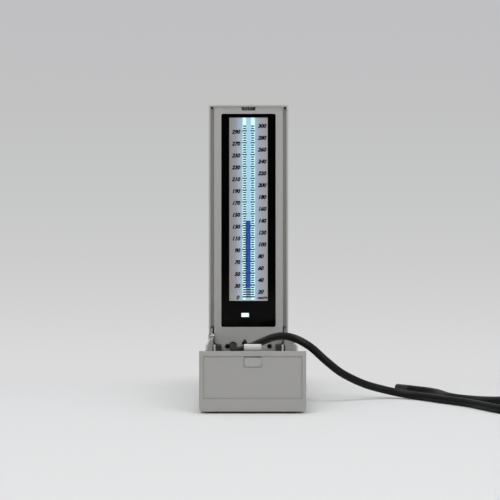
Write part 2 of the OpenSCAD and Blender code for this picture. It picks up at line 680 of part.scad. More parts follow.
lever_pivot = [panel_y - 0.8, switch_z];
axle_r = 0.6;
axle_half_l = 2.3;
module switch_body() {
  color(black) seated() difference() {
    union() {
      block([switch_x - 6, panel_back, switch_z - 6], [switch_x + 6, panel_back + 9, switch_z + 6]);
      translate([switch_x, panel_back + 0.5, switch_z]) rotate([90, 0, 0]) rotate_extrude($fn = 32)
        polygon(concat([[0, 0], [3.1, 0]], arc([0, panel_t + 0.5], 3.1, 0, 90, 6)));
    }
    translate([switch_x, lever_pivot[0], switch_z]) sphere(r = 1.5, $fn = 24);
    bar_x(lever_pivot, axle_r + hinge_fit,
      switch_x - axle_half_l - seat_gap, switch_x + axle_half_l + seat_gap, 24);
    side([[lever_pivot[0] - 8, switch_z - 6.5], [lever_pivot[0] + 0.4, switch_z - 1.4],
      [lever_pivot[0] + 0.4, switch_z + 1.4], [lever_pivot[0] - 8, switch_z + 6.5]],
      switch_x - 1.3, switch_x + 1.3);
  }
}

hub_r = 1.1;
neck_r = 0.9;
tip_r = 1.7;
tip_y = 8.8;
module power_lever() {
  color(black) seated() translate([switch_x, lever_pivot[0], switch_z]) rotate([-lever_up, 0, 0]) {
    rotate([0, 90, 0]) cylinder(r = axle_r, h = 2 * axle_half_l, center = true, $fn = 24);
    rotate([0, 90, 0]) cylinder(r = hub_r, h = 1.6, center = true, $fn = 32);
    rotate([90, 0, 0]) rotate_extrude($fn = 32)
      polygon(concat([[0, 0], [neck_r, 0]], arc([0, tip_y], tip_r, -47, 90, 8)));
  }
}

strike_y = rim_y + 8;
module strike_plate() {
  color(steel) seated() {
    top = lid_top - lid_wall;
    block([-8, strike_y, top - 5], [8, strike_y + 1, top]);
    block([-8, strike_y - 1.6, top - 0.8], [8, strike_y + 0.1, top]);
    for (x = [-6, -3, 0, 3, 6])
      block([x - 0.5, strike_y - 0.8, top - 4.6], [x + 0.5, strike_y + 0.1, top - 0.7]);
  }
}

module hinge_leaf() {
  difference() {
    union() {
      side(concat(arc([hinge_y, hinge_z], eye_r, 90, 270, 8),
        [[rim_y + 3, hinge_z - eye_r], [rim_y + 9, 46.5], [rim_y + 13, 46.5], [rim_y + 13, lid_foot_z + 8],
        [rim_y + 3, lid_foot_z + 8], [rim_y + 1, hinge_z + eye_r]]), leaf_x, tail_inner);
      for (z = [lid_foot_z + 4.5, 49]) bar_x([rim_y + 6, z], 1, tail_inner - 0.2, tail_inner + 0.9, 16);
    }
    bar_x([hinge_y, hinge_z], hinge_pin_r + hinge_fit, 0, far);
  }
}
module hinge_leaf_right() { color(steel) seated() hinge_leaf(); }
module hinge_leaf_left() { color(steel) seated() mirror([1, 0, 0]) hinge_leaf(); }

tray_floor_y = cell_y - cell_r - 1;
module battery_tray() {
  color("#6f7072") seated() difference() {
    block([-tray_half_w, tray_floor_y, tray_z[0]], [tray_half_w, inner_back_y, tray_z[1]]);
    for (z = cell_z) {
      bar_x([cell_y, z], cell_r + 0.2, -tray_wall_x, tray_wall_x, 48);
      block([-tray_wall_x, cell_y, z - cell_r - 0.2], [tray_wall_x, far, z + cell_r + 0.2]);
    }
    block([-door_inner_x, door_axis[0] - 2.6, 0], [door_inner_x, far, door_axis[1] + 5.8]);
  }
}

// A cell lying across the lid, its button towards +x where turn is 1
module cell(z, turn) {
  seated() translate([0, cell_y, z]) mirror([turn < 0 ? 1 : 0, 0, 0]) {
    color("#3b5d86") translate([-cell_l / 2 - 0.5, 0, 0]) rotate([0, 90, 0])
      cylinder(r = cell_r, h = cell_l, $fn = 40);
    color(steel) translate([cell_l / 2 - 0.6, 0, 0]) rotate([0, 90, 0]) cylinder(r = 2.7, h = 1.5, $fn = 24);
  }
}
module battery_upper() { cell(cell_z[1], -1); }
module battery_lower() { cell(cell_z[0], 1); }

// Springs press each cell's flat end
module contact_springs() {
  color(steel) seated() for (k = [0, 1]) {
    way = k == 0 ? -1 : 1;
    x0 = way * tray_wall_x;
    x1 = way * (cell_l / 2 + 0.5);
    rings = 24;
    tube([for (i = [0:rings]) let (s = i / rings, a = way * 360 * 3 * s, r = 4.6 - 2.4 * s)
      [x0 - way * 0.35 + (x1 - x0 + way * 0.7) * s, cell_y + r * cos(a), cell_z[k] + r * sin(a)]], 0.3, 5);
  }
}

module contact_plates() {
  color(steel) seated() for (k = [0, 1]) {
    way = k == 0 ? 1 : -1;
    wall_x = way * tray_wall_x;
    tip_x = way * (cell_l / 2 + 0.9);
    translate([0, 0, cell_z[k]]) {
      block([min(wall_x, wall_x - way * 0.5), cell_y - 5, -5],
        [max(wall_x, wall_x - way * 0.5), cell_y + 5, 5]);
      bar_x([cell_y, 0], 2, min(tip_x, wall_x), max(tip_x, wall_x), 24);
    }
  }
}

module battery_door() {
  color(grey) seated() difference() {
    union() {
      block([-tray_half_w - 0.2, back_y - door_t + 0.1, door_axis[1]],
        [tray_half_w + 0.2, back_y, door_low + door_h]);
      bar_x(door_axis, 1.3, -door_inner_x + running_gap, door_inner_x - running_gap, 24);
      bar_x(door_axis, trunnion_r, -trunnion_x, trunnion_x, 24);
      for (z = cell_z) block([-20, back_y - door_t - 0.5, z - 1], [20, back_y - door_t + 0.2, z + 1]);
    }
    block([-far, back_y - 0.1, 0], [far, far, door_axis[1] + 0.6]);
    for (i = [0:4]) block([-9, back_y - 0.5, 90 + 1.4 * i], [9, far, 90.7 + 1.4 * i]);
  }
}

module hose_run() {
  color(black) seated() tube(run_smooth, hose_d / 2, 8, [0, -1, 0], [1, 0, 0]);
}
module hose_coil() {
  color(black) seated() tube(coil_points, hose_d / 2, 6, [1, 0, 0], [-1, 0, 0]);
}
module hose_tail() {
  color(black) seated() tube(tail_smooth, hose_d / 2, 8, [-1, 0, 0], tail_way);
}

// The connector carries on in line with the hose, held level
tail_way = unit([-10, 13, 0]);
module cuff_connector() {
  last = tail_points[len(tail_points) - 1];
  color("#1b1b1b") seated() translate(last) rotate([0, 90, atan2(tail_way[1], tail_way[0])]) difference() {
    rotate_extrude($fn = 32) polygon(concat([[0, 0], [hose_d / 2, 0]],
      arc([hose_d / 2 - 1.6, connector_l - 1.6], 1.6, 0, 90, 4), [[0, connector_l]]));
    translate([0, 0, connector_l - 14]) cylinder(r = connector_bore_r, h = 20, $fn = 32);
  }
}

base_shell();
storage_liner();
foot_front_left();
foot_front_right();
foot_rear_left();
foot_rear_right();
foot_screws();
hinge_bracket_left();
hinge_bracket_right();
hinge_pin_left();
hinge_pin_right();
bracket_screws();
stop_buffer_left();
stop_buffer_right();
latch_pin();
latch_spring();
latch_lever();
lid_shell();
front_panel();
window_frame();
window_lens();
lcd_glass();
lcd_holder();
light_guide();
main_board();
board_screws();
pressure_sensor();
sensor_tube();
air_port();
port_collar();
panel_screws();
switch_body();
power_lever();
strike_plate();
hinge_leaf_left();
hinge_leaf_right();
battery_tray();
battery_upper();
battery_lower();
contact_springs();
contact_plates();
battery_door();
hose_run();
hose_coil();
hose_tail();
cuff_connector();
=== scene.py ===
# %% [markdown]
# # A desk blood-pressure meter, dressed for its portrait
# The meter was built as solids first: a shallow base, a lid that stands up as a display tower, a latch and
# a rubber air hose. Here those solids are loaded as a fixed frame, and every surface gets its finish. One
# millimetre is 0.001 of a Blender unit, and nothing is moved from where the frame has it.

# %% Load the frame
import json
from math import cos, hypot, pi, radians, sin, tau

import bmesh
import bpy
from mathutils import Matrix, Vector


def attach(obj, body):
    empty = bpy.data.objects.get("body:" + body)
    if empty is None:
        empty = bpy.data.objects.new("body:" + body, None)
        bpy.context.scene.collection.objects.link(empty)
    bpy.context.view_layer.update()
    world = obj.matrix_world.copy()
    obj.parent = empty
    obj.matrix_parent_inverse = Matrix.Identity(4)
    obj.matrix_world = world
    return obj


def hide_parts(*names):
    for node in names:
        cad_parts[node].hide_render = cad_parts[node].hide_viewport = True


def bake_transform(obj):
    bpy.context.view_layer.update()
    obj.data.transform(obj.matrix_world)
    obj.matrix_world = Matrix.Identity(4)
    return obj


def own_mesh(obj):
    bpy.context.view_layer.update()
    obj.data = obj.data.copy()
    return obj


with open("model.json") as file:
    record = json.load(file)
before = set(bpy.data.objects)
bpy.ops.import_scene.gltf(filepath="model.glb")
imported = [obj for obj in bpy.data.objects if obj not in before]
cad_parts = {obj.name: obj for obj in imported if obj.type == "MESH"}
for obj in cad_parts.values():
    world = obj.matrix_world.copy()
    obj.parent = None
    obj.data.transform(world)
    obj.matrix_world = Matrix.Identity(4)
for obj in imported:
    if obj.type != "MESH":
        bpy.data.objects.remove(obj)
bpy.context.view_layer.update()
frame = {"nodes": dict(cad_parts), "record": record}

nodes = frame["nodes"]
body_of_node = {n: b for b, ns in frame["record"]["behaviour"]["bodies"].items() for n in ns}

# %% [markdown]
# ## Measures
# The drawing counts depth from the base's front face, in millimetres, so a helper turns a drawing point
# into a point of the scene. A second helper turns the hex colours that a designer writes into Blender's
# linear ones.

# %% Helpers for places and colours
MM = 0.001
HALF_LENGTH = 162.5


def at(x, depth, z):
    return Vector((x * MM, (depth - HALF_LENGTH) * MM, z * MM))


def tint(code, gain=1.0):
    parts = [int(code[i:i + 2], 16) / 255 for i in (1, 3, 5)]
    lin = [p / 12.92 if p <= 0.04045 else ((p + 0.055) / 1.055) ** 2.4 for p in parts]
    return (*[gain * p for p in lin], 1.0)


def place_in_scene(obj):
    bpy.context.scene.collection.objects.link(obj)
    return obj


def as_mesh(bm, name):
    mesh = bpy.data.meshes.new(name)
    bm.to_mesh(mesh)
    bm.free()
    return mesh


print("front edge at", [round(v, 4) for v in at(0, 0, 0)], "mid grey is", round(tint("#808080")[0], 3))

# %% [markdown]
# ## Camera
# The portrait is taken level, straight at the meter's front, from less than a metre away and a hand's
# breadth above the table. A level camera keeps uprights upright; the lens shift puts the meter where it
# sits in the picture, where tilting the camera would make the tower lean.

# %% Set up the camera
SENSOR = 36.0
FOCAL_PIXELS = 905.0
FRAME_PIXELS = 500.0
eye = at(-15.1, -843.7, 119.1)
cam_data = bpy.data.cameras.new("portrait_camera")
cam_data.sensor_width = SENSOR
cam_data.lens = FOCAL_PIXELS / FRAME_PIXELS * SENSOR
cam_data.shift_x = 0.027
cam_data.shift_y = 0.072
cam_data.clip_end = 30
camera = place_in_scene(bpy.data.objects.new("portrait_camera", cam_data))
camera.location = eye
camera.rotation_euler = (pi / 2, 0, 0)
bpy.context.scene.camera = camera
print("lens", round(cam_data.lens, 2), "mm")

# %% [markdown]
# ## The air hose
# A hose is a fixed length of soft rubber tube that lies under its own weight. It leaves the port at the
# foot of the tower, climbs over the base's lip, drops to the table in a long S, runs out of the picture to
# a flat coil where its spare length is put away, and comes back to end in its cuff connector. The route is
# the one that the solids have, point by point, with a smooth curve through the points.

# %% The route, as the solids have it
BASE_SIDE = 50
LIP = 59.8
LIP_CROSS = 114.5
PORT_DEPTH = 283
inner_route = [(-19.5, 1, 44.4), (-19.5, 0.911, 43.4), (-18.5, 0.804, 42), (-15.5, 0.686, 42.2),
               (-10.4, 0.564, 44.6), (-3, 0.441, 48.5), (5.5, 0.318, 53.4), (15, 0.199, 59),
               (25, 0.093, 63.9)]
lip_route = [(-14, 115.2, LIP + 6.2), (-1.6, 103.7, LIP + 3.4)]
outer_route = [(12.3, 96.3, 55.3), (26.8, 94, 42.3), (41.8, 97.5, 30.2), (57.1, 104.3, 21.5),
               (72.1, 110.8, 14.9), (87, 114.7, 10.4), (100.7, 114.4, 7.2), (112.8, 110.4, 5.1),
               (123.5, 103.2, 4.2), (132.6, 92.1, 4.1), (141, 78.2, 4.1), (150, 65.8, 4.1),
               (158.6, 54, 4.1), (165.6, 42, 4.1), (170.8, 28.5, 4.1), (175.6, 15, 4.1), (181.5, 1.8, 4.1),
               (190.2, -10.9, 4.1), (202.4, -21, 4.1), (218, -27, 4.1), (234, -28, 4.1), (250, -28, 4.1)]
tail_route = [(250, 60, 12.9), (236, 60, 12.2), (222, 60.5, 9.2), (210, 61, 6), (198, 62.5, 4.4),
              (183.5, 66.5, 4.1), (171, 74.5, 4.1), (161.5, 85.5, 4.1), (156, 98.5, 4.1), (153.8, 112, 4.1),
              (152.3, 125.5, 4.1), (149, 138.2, 4.1), (143.2, 149.6, 4.1), (135.6, 159.8, 4.1),
              (127.7, 169.7, 4.1)]
run_points = [at(x, LIP_CROSS + f * (PORT_DEPTH - LIP_CROSS), z) for x, f, z in inner_route]
run_points += [at(x + BASE_SIDE, d, z) for x, d, z in lip_route + outer_route]
tail_points = [at(x + BASE_SIDE, d, z) for x, d, z in tail_route]
print("points of the run", len(run_points), "and of the tail", len(tail_points))

# %% [markdown]
# ## The coil, and a smooth line
# The spare length lies in one flat coil, which is worked out from its turns and radius. Straight pieces
# between the points would show as corners, so a curve that passes through every point joins them.

# %% The coil, and a smooth line
COIL_X, COIL_DEPTH, COIL_RADIUS, COIL_PINCH = 250, 16, 44, 3
COIL_TURNS, COIL_LOW, COIL_CLIMB = 1.5, 4.1, 8.8


def coil_point(s):
    turn = COIL_TURNS * s
    radius = COIL_RADIUS - COIL_PINCH * (1 - abs(2 * s - 1))
    climb = min(max((turn - 0.5) / 0.5, 0), 1)
    height = COIL_LOW + COIL_CLIMB * climb * climb * (3 - 2 * climb)
    a = radians(-90 + 360 * turn)
    return at(BASE_SIDE + COIL_X + radius * cos(a), COIL_DEPTH + radius * sin(a), height)


def smooth(points, steps):
    out, last = [], len(points) - 1
    for i in range(last):
        a, b, c, d = points[max(i - 1, 0)], points[i], points[i + 1], points[min(i + 2, last)]
        for k in range(steps):
            t = k / steps
            out.append(0.5 * (2 * b + (c - a) * t + (2 * a - 5 * b + 4 * c - d) * t * t
                              + (3 * b - a - 3 * c + d) * t ** 3))
    return out + [points[last]]


COIL_RINGS = 96
STEPS = 6
hose_line = (smooth(run_points, STEPS)[:-1] + [coil_point(i / COIL_RINGS) for i in range(COIL_RINGS)]
             + smooth(tail_points, STEPS))
hose_length = sum((b - a).length for a, b in zip(hose_line, hose_line[1:]))
print("hose", round(hose_length, 3), "m in", len(hose_line), "rings")

# %% [markdown]
# ## The hose's tube
# A curve with a bevel would do for a look, but a mesh tube along the same points can carry its own UV map.
# So the tube is built ring by ring, each ring turned as little as possible from the one before, and its map
# gives the share round the tube and the length along it in metres.

# %% A tube that carries its own UV map
def tube_mesh(name, line, radius, sides, first_way, last_way):
    bm = bmesh.new()
    uv = bm.loops.layers.uv.new("along")
    last = len(line) - 1
    rings, lengths, length, side = [], [], 0.0, None
    for i, p in enumerate(line):
        way = (line[min(i + 1, last)] - line[max(i - 1, 0)]).normalized()
        way = first_way if i == 0 else last_way if i == last else way
        side = (side - way * side.dot(way)).normalized() if side else way.orthogonal().normalized()
        up = way.cross(side)
        rings.append([bm.verts.new(p + radius * (cos(tau * k / sides) * side + sin(tau * k / sides) * up))
                      for k in range(sides)])
        lengths.append(length)
        length += (line[i + 1] - p).length if i < last else 0
    for i in range(last):
        for k in range(sides):
            n = (k + 1) % sides
            face = bm.faces.new((rings[i][k], rings[i][n], rings[i + 1][n], rings[i + 1][k]))
            face.smooth = True
            for loop, (u, v) in zip(face.loops, ((k, i), (k + 1, i), (k + 1, i + 1), (k, i + 1))):
                loop[uv].uv = (u / sides, lengths[v])
    bm.faces.new(rings[0][::-1])
    bm.faces.new(rings[-1])
    bmesh.ops.recalc_face_normals(bm, faces=bm.faces)
    return as_mesh(bm, name)


HOSE_RADIUS = 4.1 * MM
HOSE_SIDES = 24
port_way = Vector((0, -1, 0))
end_way = Vector((-10, 13, 0)).normalized()
hose_mesh = tube_mesh("air_hose", hose_line, HOSE_RADIUS, HOSE_SIDES, port_way, end_way)
air_hose = place_in_scene(bpy.data.objects.new("air_hose", hose_mesh))
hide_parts("hose_run", "hose_coil", "hose_tail")
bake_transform(air_hose)
print("tube", len(hose_mesh.polygons), "faces")

# %% [markdown]
# ## Building materials from nodes
# A material is a tree of small nodes. Making and joining them one by one takes many lines that say little,
# so one helper makes a node and fills its sockets at once: a number is written on the socket, and another
# node, or one of its outputs, is joined to it. A name in small letters is a setting of the node. Any other
# name is a socket's, with an underscore for each space; the settings go first, because they decide which
# sockets there are.

# %% One helper for any node
def feed(tree, socket, value):
    if isinstance(value, bpy.types.Node):
        value = value.outputs[0]
    if isinstance(value, bpy.types.NodeSocket):
        tree.links.new(value, socket)
    else:
        socket.default_value = value


def node(tree, kind, *in_order, **named):
    n = tree.nodes.new(kind)
    for key, value in named.items():
        if key.islower():
            setattr(n, key, value)
    for socket, value in zip(n.inputs, in_order):
        feed(tree, socket, value)
    for key, value in named.items():
        if not key.islower():
            feed(tree, n.inputs[key.replace("_", " ")], value)
    return n


print("node and feed fill a node's sockets")

# %% [markdown]
# ## Short names for common nodes
# The same few nodes come back in nearly every material: a sum, the place on the object, one direction of
# that place, a ramp of colours. Written out each time they would hide what the material is about, so each
# has a short function of its own.

# %% Short names for common nodes
def maths(tree, operation, *values):
    return node(tree, "ShaderNodeMath", *values, operation=operation)


def own_place(tree):
    return node(tree, "ShaderNodeTexCoord").outputs["Object"]


def along(tree, vector, axis):
    return node(tree, "ShaderNodeSeparateXYZ", vector).outputs[axis]


def ramp(tree, value, stops, mode="LINEAR"):
    n = node(tree, "ShaderNodeValToRGB", value)
    n.color_ramp.interpolation = mode
    while len(n.color_ramp.elements) > 1:
        n.color_ramp.elements.remove(n.color_ramp.elements[-1])
    n.color_ramp.elements[0].position, n.color_ramp.elements[0].color = stops[0]
    for position, colour in stops[1:]:
        n.color_ramp.elements.new(position).color = colour
    return n


def new_material(name):
    mat = bpy.data.materials.new(name)
    mat.use_nodes = True
    mat.node_tree.nodes.clear()
    return mat, mat.node_tree


print("short names", [f.__name__ for f in (maths, own_place, along, ramp, new_material)])

# %% [markdown]
# ## Floor and backdrop
# The meter stands on a sheet of pale card that runs back and curves up into a wall, as a photo studio has
# it, so that no line shows where the floor ends. Near the meter the card is a plain diffuse surface and
# keeps its shadows. Further back, and far out in front, it is shown to the camera and to mirrors by its own
# colour, a soft gradient that is lightest just behind the meter. That part gives no light, so it can't wash
# out the meter.

# %% The card sweep
FOLD, BEND, TOP, RUN = 1.5, 0.35, 2.6, 14
BEND_STEPS = 16
profile = [(-RUN, 0), (-0.4, 0), (FOLD, 0)]
profile += [(FOLD + BEND * sin(a), BEND * (1 - cos(a)))
            for a in (pi / 2 * k / BEND_STEPS for k in range(1, BEND_STEPS + 1))]
profile.append((FOLD + BEND, TOP))
mesh = bpy.data.meshes.new("card_sweep")
mesh.from_pydata([(x, y, z) for y, z in profile for x in (-RUN, RUN)], [],
                 [(2 * i, 2 * i + 1, 2 * i + 3, 2 * i + 2) for i in range(len(profile) - 1)])
mesh.shade_smooth()
card_sweep = place_in_scene(bpy.data.objects.new("card_sweep", mesh))
print("card", len(mesh.polygons), "faces")

# %% [markdown]
# ## The card's colour
# The gradient follows the height at which the camera sees a point, which is its rise over its distance from
# the eye. A picture of a gradient would stick to the card; this one stays level in the view from the front.

# %% The card's colour
SLOPE_LOW, SLOPE_HIGH = -0.14, 0.32
tones = [(-0.1393, "#dadada"), (-0.1116, "#dbdbdb"), (-0.104, "#dcdcdc"), (-0.075, "#dadada"),
         (-0.054, "#d7d7d7"), (-0.0155, "#d2d2d2"), (0.04, "#cccccc"), (0.095, "#c7c8c8"), (0.2, "#c2c2c3"),
         (0.3, "#c0c0c2")]
studio_card, tree = new_material("studio_card")
place = own_place(tree)
depth = along(tree, place, "Y")
rise = maths(tree, "SUBTRACT", along(tree, place, "Z"), eye.z)
slope = maths(tree, "DIVIDE", rise, maths(tree, "SUBTRACT", depth, eye.y))
share = node(tree, "ShaderNodeMapRange", Value=slope, From_Min=SLOPE_LOW, From_Max=SLOPE_HIGH)
fade = ramp(tree, share, [((s - SLOPE_LOW) / (SLOPE_HIGH - SLOPE_LOW), tint(c)) for s, c in tones])
back, front = (node(tree, "ShaderNodeMapRange", Value=depth, From_Min=start, From_Max=full,
                    interpolation_type="SMOOTHSTEP") for start, full in ((0.04, 0.24), (-1.3, -2.4)))
path = node(tree, "ShaderNodeLightPath").outputs
mirrored = maths(tree, "MAXIMUM", path["Is Glossy Ray"], path["Is Transmission Ray"])
viewed = maths(tree, "MAXIMUM", mirrored, path["Is Camera Ray"])
own_colour = maths(tree, "MULTIPLY", viewed, maths(tree, "MAXIMUM", back, front))
card = node(tree, "ShaderNodeBsdfDiffuse", Color=tint("#d4d4d4"))
glow = node(tree, "ShaderNodeEmission", Color=fade)
mix = node(tree, "ShaderNodeMixShader", own_colour, card, glow)
node(tree, "ShaderNodeOutputMaterial", Surface=mix)
card_sweep.data.materials.append(studio_card)
print("card tones", len(tones))

# %% [markdown]
# ## Lamps
# A studio tent gives even light with almost no hard shadow, and one broad lamp above lights the tops a
# little more than the fronts. So the world gives most of the light, and three large soft lamps shape it.
# The side where the camera stands is dark in a studio, and glossy black plastic shows that, so mirrors see
# less of the world there. The wanted level is that a colour renders about as it is written.

# %% Lamps and world
LAMP_AIM = Vector((0, 0.05, 0.15))
LAMPS = (("key_lamp", (-1.0, -1.8, 1.5), 1.6, 15), ("side_lamp", (1.3, -1.6, 1.1), 1.5, 14),
         ("top_lamp", (-0.1, -0.1, 2.0), 1.2, 13))
for name, place, size, watts in LAMPS:
    data = bpy.data.lights.new(name, "AREA")
    data.shape, data.size, data.energy = "DISK", size, watts
    lamp = place_in_scene(bpy.data.objects.new(name, data))
    lamp.location = place
    lamp.rotation_euler = (LAMP_AIM - Vector(place)).to_track_quat("-Z", "Y").to_euler()

WORLD_LEVEL = 0.62
DARK_SHARE = 0.06
world = bpy.data.worlds.new("studio")
bpy.context.scene.world = world
world.use_nodes = True
tree = world.node_tree
sky_way = node(tree, "ShaderNodeTexCoord").outputs["Generated"]
side = node(tree, "ShaderNodeMapRange", Value=along(tree, sky_way, "Y"), From_Min=-0.9, From_Max=0.1,
            To_Min=DARK_SHARE * WORLD_LEVEL, To_Max=WORLD_LEVEL)
in_mirror = node(tree, "ShaderNodeLightPath").outputs["Is Glossy Ray"]
light = tree.nodes["Background"]
light.inputs["Color"].default_value = (0.97, 0.98, 1.0, 1)
feed(tree, light.inputs["Strength"], node(tree, "ShaderNodeMix", in_mirror, A=WORLD_LEVEL, B=side))
bpy.context.scene.view_settings.view_transform = "Standard"
print("lamps", len(LAMPS), "world", WORLD_LEVEL)

# %% [markdown]
# ## Finishes that several materials share
# Moulded plastic has a fine spark grain from its mould, a faint unevenness of colour, edges that handling
# has polished and that catch a line of light, shade in its corners and a little dust where it faces up. The
# lighter edges are partly wear and partly painted highlight, and the corner shade is painted into the
# colour. Each of these is one small node group, so that every material can take it with its own values. The
# groups only hand out colours, masks and heights. The first one is the grain: a fine height, and a slow
# drift of colour and gloss.

# %% Grain of the mould
def new_group(name, kind, ins, outs):
    group = bpy.data.node_groups.new(name, kind)
    for label, socket_kind, value in ins:
        socket = group.interface.new_socket(label, in_out="INPUT", socket_type=socket_kind)
        if value is not None:
            socket.default_value = value
    for label, socket_kind in outs:
        group.interface.new_socket(label, in_out="OUTPUT", socket_type=socket_kind)
    return group, group.nodes.new("NodeGroupInput").outputs


FLOAT, COLOUR = "NodeSocketFloat", "NodeSocketColor"
grain_group, given = new_group(
    "mould_grain", "ShaderNodeTree",
    [("Colour", COLOUR, (0.5, 0.5, 0.5, 1)), ("Gloss", FLOAT, 0.5), ("Grain", FLOAT, 1500.0),
     ("Drift", FLOAT, 0.05)],
    [("Colour", COLOUR), ("Roughness", FLOAT), ("Height", FLOAT)])
place = own_place(grain_group)
fine = node(grain_group, "ShaderNodeTexNoise", Vector=place, Scale=given["Grain"], Detail=3.0, Roughness=0.6)
slow = node(grain_group, "ShaderNodeTexNoise", Vector=place, Scale=22.0, Detail=4.0, Roughness=0.55)
centred = maths(grain_group, "SUBTRACT", slow, 0.5)
shade = maths(grain_group, "ADD", maths(grain_group, "MULTIPLY", centred, given["Drift"]), 1.0)
shaded = node(grain_group, "ShaderNodeVectorMath", given["Colour"], Scale=shade, operation="SCALE")
roughness = maths(grain_group, "MULTIPLY_ADD", centred, 0.25, given["Gloss"])
node(grain_group, "NodeGroupOutput", Colour=shaded, Roughness=roughness, Height=fine)
print("group", grain_group.name, len(grain_group.nodes), "nodes")

# %% [markdown]
# ## Rubbed and highlighted edges
# Handling polishes and lightens an edge first, and a rounded edge catches a line of light, so the lighter
# edge colour is partly wear and partly painted highlight. Wear could be painted by hand, but a Bevel node
# finds every edge by itself: it gives the normal that a rounded edge would have, and where that departs
# from the true normal there is an edge. Noise breaks the line up, because nobody wears a case evenly.

# %% Mask of rubbed edges and painted highlights
# Mask for the edge colour: partly wear, partly painted highlight.
edge_wear_and_highlight_group, given = new_group(
    "rubbed_and_highlighted_edges", "ShaderNodeTree", [("Width", FLOAT, 0.0008), ("Amount", FLOAT, 0.5)], [("Mask", FLOAT)])
round_normal = node(edge_wear_and_highlight_group, "ShaderNodeBevel", Radius=given["Width"], samples=4)
true_normal = node(edge_wear_and_highlight_group, "ShaderNodeNewGeometry").outputs["Normal"]
match = node(edge_wear_and_highlight_group, "ShaderNodeVectorMath", round_normal, true_normal, operation="DOT_PRODUCT")
turned = node(edge_wear_and_highlight_group, "ShaderNodeMapRange", Value=match.outputs["Value"], From_Min=0.995, From_Max=0.8)
patchy = node(edge_wear_and_highlight_group, "ShaderNodeTexNoise", Vector=own_place(edge_wear_and_highlight_group), Scale=140.0, Detail=5.0)
breaks = node(edge_wear_and_highlight_group, "ShaderNodeMapRange", Value=patchy, From_Min=0.35, From_Max=0.65)
wear_and_highlight_mask = maths(edge_wear_and_highlight_group, "MULTIPLY", maths(edge_wear_and_highlight_group, "MULTIPLY", turned, breaks), given["Amount"])
node(edge_wear_and_highlight_group, "NodeGroupOutput", Mask=wear_and_highlight_mask)
print("group", edge_wear_and_highlight_group.name, len(edge_wear_and_highlight_group.nodes), "nodes")

# %% [markdown]
# ## Painted shade in corners
# Where neighbouring surfaces shut out the light, shade falls, and here it is painted into the colour,
# which deepens there. An Ambient Occlusion node measures how closed in a point is, so no corner has to be
# picked out one by one.

# %% Painted shade in corners
# Painted shade: a factor below one where Ambient Occlusion finds a point closed in.
corner_shade_group, given = new_group(
    "painted_corner_shade", "ShaderNodeTree", [("Reach", FLOAT, 0.004), ("Depth", FLOAT, 0.5)], [("Shade", FLOAT)])
openness = node(corner_shade_group, "ShaderNodeAmbientOcclusion", Distance=given["Reach"], samples=6).outputs["AO"]
darkest = maths(corner_shade_group, "SUBTRACT", 1.0, given["Depth"])
kept = node(corner_shade_group, "ShaderNodeMapRange", Value=openness, From_Min=0.25, From_Max=0.9, To_Min=darkest)
node(corner_shade_group, "NodeGroupOutput", Shade=kept)
print("group", corner_shade_group.name, len(corner_shade_group.nodes), "nodes")

# %% [markdown]
# ## Dust
# Dust settles in soft patches where a surface faces up, and the upright part of the normal tells that.

# %% Mask of settled dust
dust_group, given = new_group(
    "settled_dust", "ShaderNodeTree", [("Amount", FLOAT, 0.3), ("Patches", FLOAT, 60.0)], [("Mask", FLOAT)])
true_normal = node(dust_group, "ShaderNodeNewGeometry").outputs["Normal"]
facing = node(dust_group, "ShaderNodeMapRange", Value=along(dust_group, true_normal, "Z"), From_Min=0.5,
              From_Max=1.0)
cloud = node(dust_group, "ShaderNodeTexNoise", Vector=own_place(dust_group), Scale=given["Patches"],
             Detail=6.0, Roughness=0.7)
lying = maths(dust_group, "MULTIPLY", maths(dust_group, "MULTIPLY", facing, cloud), given["Amount"])
node(dust_group, "NodeGroupOutput", Mask=lying)
print("group", dust_group.name, len(dust_group.nodes), "nodes")

# %% [markdown]
# ## Moulded and rubber finishes
# One function makes every moulded or rubber finish from the shared groups. The values say what differs:
# colour, gloss, size and depth of the grain, how worn or dusty it is, how much highlight is painted on its
# edges and how much shade is painted in its corners. The latch alone also takes painted light and shade by
# height: its hook, which stands in the light above the rim, is painted lighter towards its top and a little
# darker at its foot, and the button, which lies in its window, keeps its colour.

# %% A function for moulded and rubber finishes
def use_group(tree, group, **values):
    return node(tree, "ShaderNodeGroup", node_tree=group, **values)


def mix_colour(tree, mask, first, second):
    n = node(tree, "ShaderNodeMix", mask, data_type="RGBA")
    feed(tree, n.inputs[6], first)
    feed(tree, n.inputs[7], second)
    return n.outputs[2]


def surface(tree, **sockets):
    node(tree, "ShaderNodeOutputMaterial", Surface=node(tree, "ShaderNodeBsdfPrincipled", **sockets))


